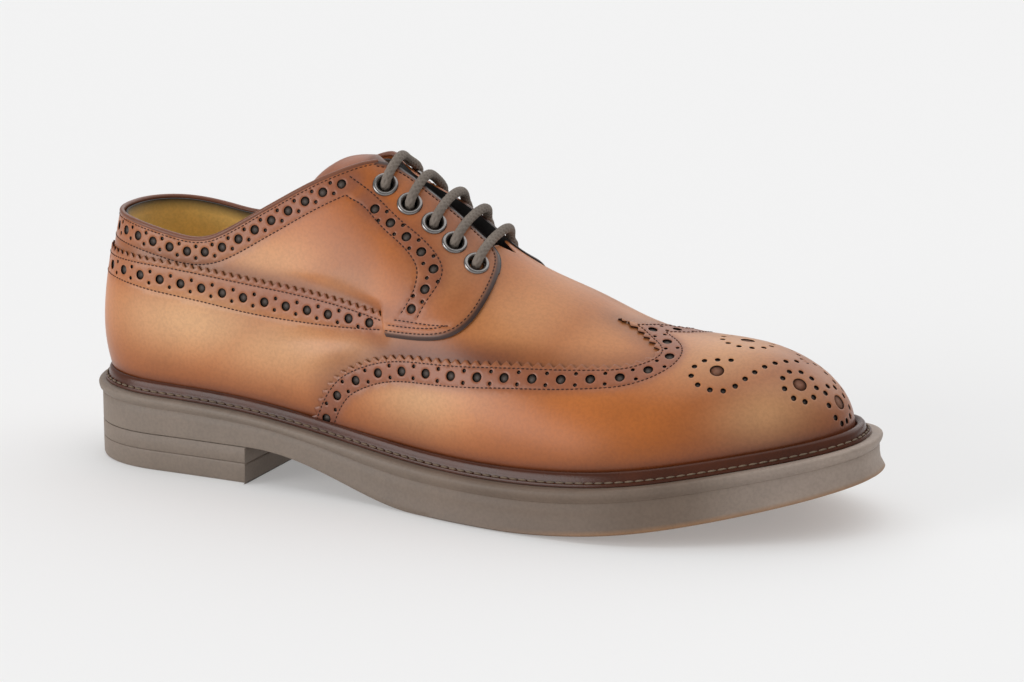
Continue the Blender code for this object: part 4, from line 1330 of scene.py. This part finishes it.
# %% [markdown]
# ## Lining
# Behind the quarters is a suede lining, black near its edge, and black under the laces as the
# facings' black lining and as painted shade in the throat. It is a grid on the same last, thickened
# inwards, so nothing gapes when the shoe is seen from above.

# %% Grids
def grid_piece(name, grids, looks, nodes=(), tones=None):
    """One sheet from grids of points (rows, columns, 3), each wound the way given."""
    points, faces = [], []
    for grid, flipped in grids:
        rows, columns = grid.shape[:2]
        start = sum(map(len, points))
        corner = start + np.arange(rows - 1)[:, None] * columns + np.arange(columns - 1)[None, :]
        quads = np.stack([corner, corner + columns, corner + columns + 1, corner + 1], -1)
        quads = quads.reshape(-1, 4)
        faces += (quads[:, ::-1] if flipped else quads).tolist()
        points.append(grid.reshape(-1, 3))
    points = np.concatenate(points)
    piece = new_piece(name, points, faces, looks, nodes)
    if tones is not None:
        paint(piece, tones(points))
    return piece


# %% Lining
LINING_LAYER, LINING_FRONT, LINING_THICK = -0.0023, 0.158, 0.0005
LINING_SHARES = np.append(np.linspace(0, 0.93, 15), [0.965, 1.0])
# Under the laces the lining turns black: the facings' black lining and painted shade in the throat.
LINING_EDGE, LINING_BLACK_AND_SHADE = 0.0035, (0.108, 0.118)
stations = even_x(LAST_HEEL, LINING_FRONT, 90)
grids = []
for side, pattern in side_pattern.items():
    x, _, rise = pattern.last(np.concatenate([collar_lines[side], tab_lines[side][1:]]))
    upper = np.arange(len(x)) < np.argmax(x)
    tops = np.interp(stations, x[upper], rise[upper])
    grid = on_wall(stations[:, None], side, tops[:, None] * LINING_SHARES, LINING_LAYER)
    grid[0, :, 1] = 0
    grids.append((grid, side < 0))
rims = np.concatenate([grid[:, -1] for grid, _ in grids])


def lining_tone(points):
    tone = blended(SUEDE, LINING_BLACK, beside(points, rims, LINING_EDGE) * 2)
    return blended(tone, LINING_BLACK, ramp(points[:, 0], *LINING_BLACK_AND_SHADE))


lining = grid_piece("lining", grids, [suede_look], tones=lining_tone)
merge(lining)
thicken(lining, LINING_THICK, offset=1.0)
print("lining", len(lining.data.polygons), "faces")

# %% [markdown]
# ## Insole
# The insole is the floor that the foot stands on, a board covered with suede. It is lofted from
# three outlines of the last's foot, the top one a little smaller, so its edge is rounded.

# %% Lofts
LOFT_SHARP, LOFT_MERGE = math.radians(50), 2e-6


def loft(name, rings, look, nodes=(), closed_ends=True, tones=None):
    """A solid through rings of points; each ring is the outer side, then the inner side back."""
    count = len(rings[0])
    half = count // 2
    corner = np.arange(len(rings) - 1)[:, None] * count
    i = np.arange(count)[None, :]
    after = (i + 1) % count
    faces = np.stack(np.broadcast_arrays(corner + i, corner + after, corner + count + after,
                                         corner + count + i), -1).reshape(-1, 4).tolist()
    if closed_ends:
        top = (len(rings) - 1) * count
        for k in range(half - 1):
            strip = [k, count - 1 - k, count - 2 - k, k + 1]
            faces.append(strip)
            faces.append([top + s for s in strip[::-1]])
    points = np.concatenate(rings)
    piece = new_piece(name, points, faces, [look], nodes)
    if tones is not None:
        paint(piece, tones(points))
    merge(piece, LOFT_MERGE)
    piece.data.set_sharp_from_angle(angle=LOFT_SHARP)
    print(name, len(piece.data.polygons), "faces")
    return piece


def foot_ring(layer, xs):
    """The foot of the wall all round, this far outside the last."""
    sides = [on_wall(xs, side, 0.0, layer) for side in (-1, 1)]
    for points in sides:
        points[[0, -1], 1] = 0
    return np.concatenate([sides[0], sides[1][::-1]])


# %% Insole
INSOLE_LAYER, INSOLE_TOP = -0.0022, 0.0026
INSOLE_EDGE = table("inset height", [(0.0, 0.0003), (0.0, INSOLE_TOP - 0.0004), (0.0006, INSOLE_TOP)])
last_x = LAST_HEEL + (LAST_TOE - LAST_HEEL) * cosine_steps(80)
floor_height = np.concatenate([ledge(last_x), ledge(last_x)[::-1]])
rings = []
for inset, height in zip(*INSOLE_EDGE.values()):
    ring = foot_ring(INSOLE_LAYER - inset, last_x)
    ring[:, 2] = floor_height + height
    rings.append(ring)
loft("insole_sock", rings, suede_look, ("insole",), tones=plain(SUEDE))

# %% [markdown]
# ## Tongue
# The tongue lies under the facings and sags between them, and its free end leans back over the
# opening and narrows to a rounded tip. Rows across it are laid on the last, then lowered. Where it
# runs under the laces its colour turns near-black, as painted shade of the throat.

# %% Tongue
TONGUE = table("x half_width", [
    (0.1120, 0.0178), (0.1240, 0.0205), (0.1450, 0.0195), (0.1700, 0.0150)])
TONGUE_END = table("back down width", [
    (0.0245, 0.0112, 0.50), (0.0232, 0.0098, 0.66), (0.0205, 0.0072, 0.80),
    (0.0160, 0.0040, 0.91), (0.0105, 0.0014, 0.97), (0.0050, 0.0003, 1.00), (0.0, 0.0, 1.0)])
TONGUE_SAG, TONGUE_LAYER, TONGUE_THICK = 0.0040, -0.0025, 0.0020
TONGUE_COLUMNS, TONGUE_NEXT, TONGUE_LEVEL = 33, 0.1135, 0.35
# From here forward the tongue is darkened as painted shade in the throat.
SAG_FADE, TONGUE_SHADE_STARTS = (0.112, 0.145), (0.105, 0.118)


def tongue_row(x):
    half = float(smooth(TONGUE, "half_width", x))
    y = np.linspace(-half, half, TONGUE_COLUMNS)
    sides = np.sign(y + 1e-9)
    rise = np.empty(TONGUE_COLUMNS)
    top = levels > TONGUE_LEVEL
    for side in (-1, 1):
        part = sides == side
        out = np.abs(lasted(x, side, levels)[:, 1])
        rise[part] = np.interp(-np.abs(y[part]), -out[top], levels[top])
    row = on_wall(x, sides, rise, TONGUE_LAYER)
    row[:, 2] -= TONGUE_SAG * fade(x, *SAG_FADE) * (1 - (y / half) ** 2)
    return row


free_end = tongue_row(TONGUE["x"][0])
rows = []
for back, down, width in drawn(TONGUE_END, "back down width", 24):
    row = free_end * np.array([1, width, 1]) - np.array([back, 0, down])
    row[:, 2] += (1 - width ** 2) * (free_end[TONGUE_COLUMNS // 2, 2] - free_end[:, 2])
    rows.append(row)
rows += [tongue_row(x) for x in np.linspace(TONGUE_NEXT, TONGUE["x"][-1], 40)]
# Rosy tan, turned near-black under the laces as painted shade.
tongue = grid_piece("tongue_leather", [(np.array(rows), False)], [leather],
                    ("tongue",),
                    lambda p: blended(ROSE_TAN, TONGUE_SHADE_DARK, ramp(p[:, 0], *TONGUE_SHADE_STARTS)))
thicken(tongue, TONGUE_THICK)
print("tongue", len(tongue.data.polygons), "faces")

# %% [markdown]
# ## Collar binding, back stay and throat edges
# A rolled strip of leather binds the collar, and a narrow stay covers the seam at the heel. Along
# the throat the black lining folds round the inner edge of each facing, and hangs on below it into
# the gap above the tongue as a sheet of painted shade. The binding is a tube along the collar line,
# and the others are grids between lines that the panels already have.

# %% Collar binding
def tube(path, radius_of, sides):
    """Rings of a tube that doesn't twist; radius_of gets the angles and the length so far."""
    lengths = lengths_along(path)
    tangents = unit(np.gradient(path, axis=0))
    flat = np.cross(tangents[0], (1.0, 0.0, 0.0))
    angles = full_turn(sides)
    rings = []
    for point, tangent, length in zip(path, tangents, lengths):
        flat = unit(flat - tangent * np.dot(flat, tangent))
        other = np.cross(tangent, flat)
        turn = np.cos(angles)[:, None] * flat + np.sin(angles)[:, None] * other
        rings.append(point + turn * radius_of(angles, length)[:, None])
    return rings


BINDING_RADIUS, BINDING_STEP, BINDING_SIDES = 0.0010, 0.0012, 12
BINDING_BROWN = ROSE_TAN + (EDGE_DYE - ROSE_TAN) * 0.45
binding_path = []
for side, pattern in side_pattern.items():
    where = pattern.last(pattern.even(collar_lines[side], BINDING_STEP))
    path = on_wall(*where, quarter_top(*where) - QUARTER_THICK / 2)
    binding_path += list(path[:0:-1]) if side < 0 else list(path)
rings = tube(np.array(binding_path), lambda angles, length: np.full(len(angles), BINDING_RADIUS),
             BINDING_SIDES)
loft("collar_binding", rings, leather, tones=plain(BINDING_BROWN))

# %% Back stay and throat edges
STAY_HALF, STAY_LAYER, STAY_THICK = 0.0030, 0.0009, 0.0008
STAY_UNDER_STRIP, STAY_UNDER_COLLAR = 0.002, 0.0004
grids = []
for side, pattern in side_pattern.items():
    bottom = strip_lines[side][0, 1] - STAY_UNDER_STRIP
    top = collar_lines[side][0, 1] - STAY_UNDER_COLLAR
    flat = np.array([[(a, b) for b in np.linspace(bottom, top, 14)]
                     for a in np.linspace(0, STAY_HALF, 5)])
    grid = pattern.place(flat.reshape(-1, 2), STAY_LAYER).reshape(*flat.shape[:2], 3)
    grid[0, :, 1] = 0
    grids.append((grid, side > 0))
stay = grid_piece("back_stay", grids, [leather], tones=plain(EDGE_DYE))
merge(stay)
thicken(stay, STAY_THICK)

# The black band is the lining folded round the facing's edge; below it, it hangs into the gap above
# the tongue as painted shade.
THROAT_FOLD_AND_SHADE_LAYERS = np.array([-0.0003, -0.0010, -0.0020, -0.0032, -0.0046, -0.0060])
THROAT_START, THROAT_SHORT, THROAT_OUT, THROAT_THICK = 0.1205, 12, 0.0003, 0.0006
for side, pattern in side_pattern.items():
    line = tab_lines[side]
    x = station_at(line[:, 0])
    line = line[(x > THROAT_START) & (np.arange(len(x)) < np.argmax(x) - THROAT_SHORT)]
    where = pattern.last(pattern.offset(pattern.even(line, 0.0010), THROAT_OUT))
    top = quarter_top(*where)
    grid = np.stack([on_wall(*where, top + far) for far in THROAT_FOLD_AND_SHADE_LAYERS], axis=1)
    band = grid_piece("throat_fold_and_shade_" + side_name[side], [(grid, side < 0)], [black_look])
    thicken(band, THROAT_THICK, offset=1.0)
print("stay and throat edges laid")


# %% [markdown]
# ## Outsole
# The sole is moulded rubber with a thin lip that stands out under the welt. It is a loft between
# outlines of the foot: a short table says how far each level stands out, at the heel and at the
# toe. A loft follows the arch and the toe spring, which a straight extrusion can't.

# %% Outsole
SOLE_HEEL_ROUND, SOLE_TOE_ROUND, TOWARD_TOE = 0.038, 0.213, (0.09, 0.20)
BALL_SHADE, BALL_ENDS, TOE_PALES = 0.8, (0.24, 0.28), (0.250, 0.285)
AMBER_SHARE, AMBER_LOW, AMBER_STARTS = 0.8, (0.0004, 0.0024), (0.17, 0.23)


def sole_half_width(side, x):
    width = smooth(SOLE_PLAN, side_name[side], x)
    return (width * rounding(x, SOLE_HEEL_ROUND, 0, HEEL_POWER)
            * rounding(x, SOLE_TOE_ROUND, SOLE_LENGTH, TOE_POWER))


def sole_ring(xs, outs, height_of):
    """The outline at these stations, pushed out along its normal, at a height for each x."""
    sides = [np.stack([xs, side * sole_half_width(side, xs)], -1) for side in (-1, 1)]
    loop = np.concatenate([sides[0], sides[1][::-1]])
    tangent = unit(np.roll(loop, -1, axis=0) - np.roll(loop, 1, axis=0))
    normal = np.stack([tangent[:, 1], -tangent[:, 0]], -1)
    loop = loop + normal * np.concatenate([outs, outs[::-1]])[:, None]
    return np.column_stack([loop, height_of(np.clip(loop[:, 0], 0, SOLE_LENGTH))])


SOLE_EDGE = table("share heel_out toe_out", [
    (0.000, -0.0019, -0.0010), (0.015, -0.0015, 0.0003), (0.050, -0.0014, 0.0010),
    (0.150, -0.0014, 0.0004), (0.300, -0.0014, -0.0006), (0.480, -0.0014, -0.0010),
    (0.690, -0.0014, -0.0011), (0.705, -0.0016, -0.0013), (0.720, -0.0014, -0.0011),
    (0.755, -0.0012, -0.0010), (0.790, -0.0004, -0.0004), (0.850, -0.0001, -0.0001),
    (0.900, 0.0000, 0.0000), (0.945, -0.0002, -0.0002), (0.980, -0.0007, -0.0007),
    (1.000, -0.0018, -0.0018), (1.000, -0.0100, -0.0100)])
sole_x = SOLE_LENGTH * cosine_steps(150)
rings = []
for share, heel_out, toe_out in zip(*SOLE_EDGE.values()):
    outs = heel_out + (toe_out - heel_out) * ramp(sole_x, *TOWARD_TOE)
    rings.append(sole_ring(
        sole_x, outs, lambda x, up=share: underside(x) + up * (ledge(x) - underside(x))))


def rubber_tone(points):
    """Taupe, darker at the ball, paler at the toe, and amber low down in front."""
    x = np.clip(points[:, 0], 0, SOLE_LENGTH)
    ball = BALL_SHADE * ramp(x, *TOWARD_TOE) * fade(x, *BALL_ENDS)
    tone = blended(blended(RUBBER_TAUPE, RUBBER_DARK, ball), RUBBER_PALE, ramp(x, *TOE_PALES))
    low = fade(points[:, 2] - underside(x), *AMBER_LOW)
    return blended(tone, RUBBER_AMBER, AMBER_SHARE * low * ramp(x, *AMBER_STARTS))


loft("outsole_rubber", rings, rubber_look, ("outsole",), tones=rubber_tone)

# %% [markdown]
# ## Heel
# The heel is a block on a lift, both cut straight at the breast. The fine dark line between them
# is a real groove: their edges are rounded where they meet.

# %% Heel
heel_x = HEEL_BREAST * (1 - np.cos(np.linspace(0, math.pi / 2, 70)))
LIFT = table("level out", [
    (0.0000, -0.0022), (0.0003, -0.0018), (0.0010, -0.0015), (0.0066, -0.0014),
    (LIFT_TOP - 0.0003, -0.0014), (LIFT_TOP - 0.0001, -0.0016)])
BLOCK = table("level out", [
    (LIFT_TOP, -0.0016), (LIFT_TOP + 0.0003, -0.0014), (HEEL_TOP - 0.0004, -0.0014),
    (HEEL_TOP - 0.0001, -0.0016)])
for name, profile, node in (("heel_lift_rubber", LIFT, "heel_lift"),
                            ("heel_block_rubber", BLOCK, "heel_block")):
    rings = [sole_ring(heel_x, np.full_like(heel_x, out), lambda x, z=level: x * 0 + z)
             for level, out in zip(*profile.values())]
    loft(name, rings, rubber_look, (node,), tones=rubber_tone)

# %% [markdown]
# ## Welt
# The welt is a dark polished strip between the sole and the upper: a rounded bead against the
# leather, then a flat groove for the stitches. Its section is a short table, swept between the foot
# of the upper and the edge of the sole.

# %% Welt
WELT_SECTION = table("share height", [
    (0.00, 0.0002), (1.00, 0.0002), (1.00, 0.0008), (0.97, 0.0012), (0.86, 0.0013), (0.74, 0.0012),
    (0.70, 0.0015), (0.66, 0.0026), (0.59, 0.0039), (0.48, 0.0047), (0.34, 0.0050), (0.20, 0.0048),
    (0.08, 0.0041), (0.01, 0.0028)])
WELT_INSET_HEEL, WELT_INSET_FRONT = 0.0026, 0.0040
WELT_STEPS_UP, WELT_WIDENS = (0.090, 0.102), (0.03, 0.13)
welt_x = LAST_HEEL + (LAST_TOE - LAST_HEEL) * cosine_steps(150)
inner_path = foot_ring(VAMP_LAYER + (CAP_LAYER - VAMP_LAYER) * ramp(welt_x, *WELT_STEPS_UP), welt_x)
inset = WELT_INSET_HEEL + (WELT_INSET_FRONT - WELT_INSET_HEEL) * ramp(sole_x, *WELT_WIDENS)
outer_path = sole_ring(sole_x, -inset, ledge)


def on_welt(share, height):
    ring = inner_path + (outer_path - inner_path) * share
    ring[:, 2] = ledge(ring[:, 0]) + height
    return ring


rings = [on_welt(share, height) for share, height in zip(*WELT_SECTION.values())]
loft("welt_strip", rings + rings[:1], welt_look, ("welt",), closed_ends=False)


# %% [markdown]
# ## Welt stitches
# A thick waxed thread is sewn along the welt's groove, one long stitch after the other. They are
# the same stitch as in the seams, longer and thicker, and they lie half in the groove.

# %% Welt stitches
WELT_PITCH, WELT_STITCH, WELT_THREAD = 0.0036, 0.0034, 0.00085
WELT_ROW, GROOVE_FLOOR, THREAD_PROUD, WAY_STEP = 0.82, 0.0013, 0.25, 0.0015
UP = np.array([0.0, 0.0, 1.0])
groove = on_welt(WELT_ROW, GROOVE_FLOOR + WELT_THREAD * THREAD_PROUD)
groove = np.vstack([groove, groove[:1]])
lengths = lengths_along(groove)
marks = np.arange(WELT_PITCH / 2, lengths[-1], WELT_PITCH)
before, middles, after = (spots(groove, lengths, (marks + far) % lengths[-1])
                          for far in (-WAY_STEP, 0.0, WAY_STEP))
chain = [one_stitch(middle, way, UP, WELT_STITCH, WELT_THREAD)
         for middle, way in zip(middles, after - before)]
scatter("welt_stitches", chain, taupe_thread)

# %% [markdown]
# ## Eyelets
# Ten blackened metal eyelets are pressed through the facings: a barrel, rolled over into a ring. One
# is made from an open cylinder, whose rim is extruded and widened step by step, and it is then
# copied to its ten seats.

# %% One eyelet
BARREL_RADIUS, BARREL_DEEP, EYELET_WALL, EYELET_SIDES = 0.0026, 0.0028, 0.00025, 32
# The rolled ring, step by step from the barrel's rim: its radius and height over the leather
RIM_HEIGHT = -0.0004
EYELET_ROLL = table("radius height", [
    (0.0028, 0.0002), (0.0032, 0.0006), (0.0038, 0.0008), (0.0043, 0.0007), (0.0046, 0.0003),
    (0.0047, -0.0002)])

mid_height = RIM_HEIGHT - BARREL_DEEP / 2
bpy.ops.object.select_all(action="DESELECT")
bpy.ops.mesh.primitive_cylinder_add(vertices=EYELET_SIDES, radius=BARREL_RADIUS, depth=BARREL_DEEP,
                                    end_fill_type="NOTHING", location=(0, 0, mid_height))
eyelet = bpy.context.object
bpy.ops.object.transform_apply(location=True)
for vertex in eyelet.data.vertices:
    vertex.select = vertex.co.z > mid_height
for part in (*eyelet.data.edges, *eyelet.data.polygons):
    part.select = all(eyelet.data.vertices[i].select for i in part.vertices)
bpy.ops.object.mode_set(mode="EDIT")
radius, height = BARREL_RADIUS, RIM_HEIGHT
for wider, higher in zip(*EYELET_ROLL.values()):
    bpy.ops.mesh.extrude_region_move(TRANSFORM_OT_translate={"value": (0, 0, higher - height)})
    bpy.ops.transform.resize(value=(wider / radius, wider / radius, 1))
    radius, height = wider, higher
bpy.ops.object.mode_set(mode="OBJECT")
bpy.ops.object.shade_smooth()
eyelet.data.materials.append(metal_look)
thicken(eyelet, EYELET_WALL, offset=1.0)
print("eyelet", len(eyelet.data.polygons), "faces, flange", round(radius * 2000, 1), "mm across")


# %% Ten eyelets
def seat(x, side, girth):
    """An eyelet's centre on the facing, and the way that it faces."""
    where = side_pattern[side].last(side_pattern[side].from_ridge([x], [girth]))
    normal = wall_normal(*where)[0]
    return on_wall(*where, quarter_layer(*where))[0] - CENTRE, normal


BARS = len(EYELETS["x"])
for number in range(BARS):
    for side, name in side_name.items():
        centre, axis = seat(EYELETS["x"][number], side, EYELETS[name][number])
        pick(eyelet)
        bpy.ops.object.duplicate()
        ring = bpy.context.object
        ring.name = ring.data.name = f"ring_{name}_{number + 1}"
        ring.location = centre
        ring.rotation_euler = Vector(axis).to_track_quat("Z", "Y").to_euler()
        bpy.ops.object.transform_apply(location=True, rotation=True, scale=True)
        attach(ring, "root")
        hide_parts(f"eyelet_{name}_{number + 1}")
bpy.data.objects.remove(eyelet)
print("eyelets set")


# %% [markdown]
# ## Laces
# The lace shows five straight bars over the throat. Each bar comes up through an outer eyelet,
# arches over the gap and goes down through the inner one. It is a tube along a smooth path, and two
# helices that cross press the braid into it.

# %% A bar of the lace
LACE_RADIUS, BRAID_STRANDS, BRAID_PITCH, BRAID_DEEP = 0.0018, 5, 0.0106, 0.00048
# From an eyelet's middle: how far up the facing towards the throat, and how high over it
OUTER_RISE = table("inward lift", [
    (-0.0004, -0.0045), (-0.0001, -0.0012), (0.0003, 0.0012), (0.0020, 0.0022), (0.0055, 0.0026),
    (0.0100, 0.0024)])
INNER_RISE = table("inward lift", [
    (-0.0004, -0.0045), (-0.0001, -0.0012), (0.0003, 0.0011), (0.0018, 0.0020), (0.0055, 0.0021),
    (0.0100, 0.0022)])


def bar_end(number, side, rise):
    pattern = side_pattern[side]
    x, girth = EYELETS["x"][number], EYELETS[side_name[side]][number]
    flat = pattern.from_ridge(np.full(len(rise["lift"]), x), girth - rise["inward"])
    where = pattern.last(flat)
    return on_wall(*where, quarter_layer(*where) + rise["lift"])


def braid(angles, length):
    twist = 2 * math.pi * length / BRAID_PITCH
    ways = [np.cos(BRAID_STRANDS * (angles + way * twist)) for way in (-1, 1)]
    return LACE_RADIUS - BRAID_DEEP * (0.5 - 0.5 * np.maximum(*ways))


def along_points(points, count):
    """A smooth path through points in space."""
    rows = dict(zip("abc", np.array(points).T))
    lengths = lengths_along(np.array(points))
    rows["step"] = lengths / lengths[-1]
    shares = np.linspace(0, 1, count)
    return np.stack([smooth(rows, axis, shares, against="step") for axis in "abc"], -1)


# %% Laces
PATH_POINTS, CORD_SIDES = 170, 30
for number in range(BARS):
    ends = bar_end(number, -1, OUTER_RISE), bar_end(number, 1, INNER_RISE)[::-1]
    path = along_points(np.concatenate(ends), PATH_POINTS)
    rings = tube(path, braid, CORD_SIDES)
    lace = loft(f"lace_{number + 1}", rings, cord_look, (f"lace_bar_{number + 1}",))
    [tuple(p) for p in path - CENTRE]
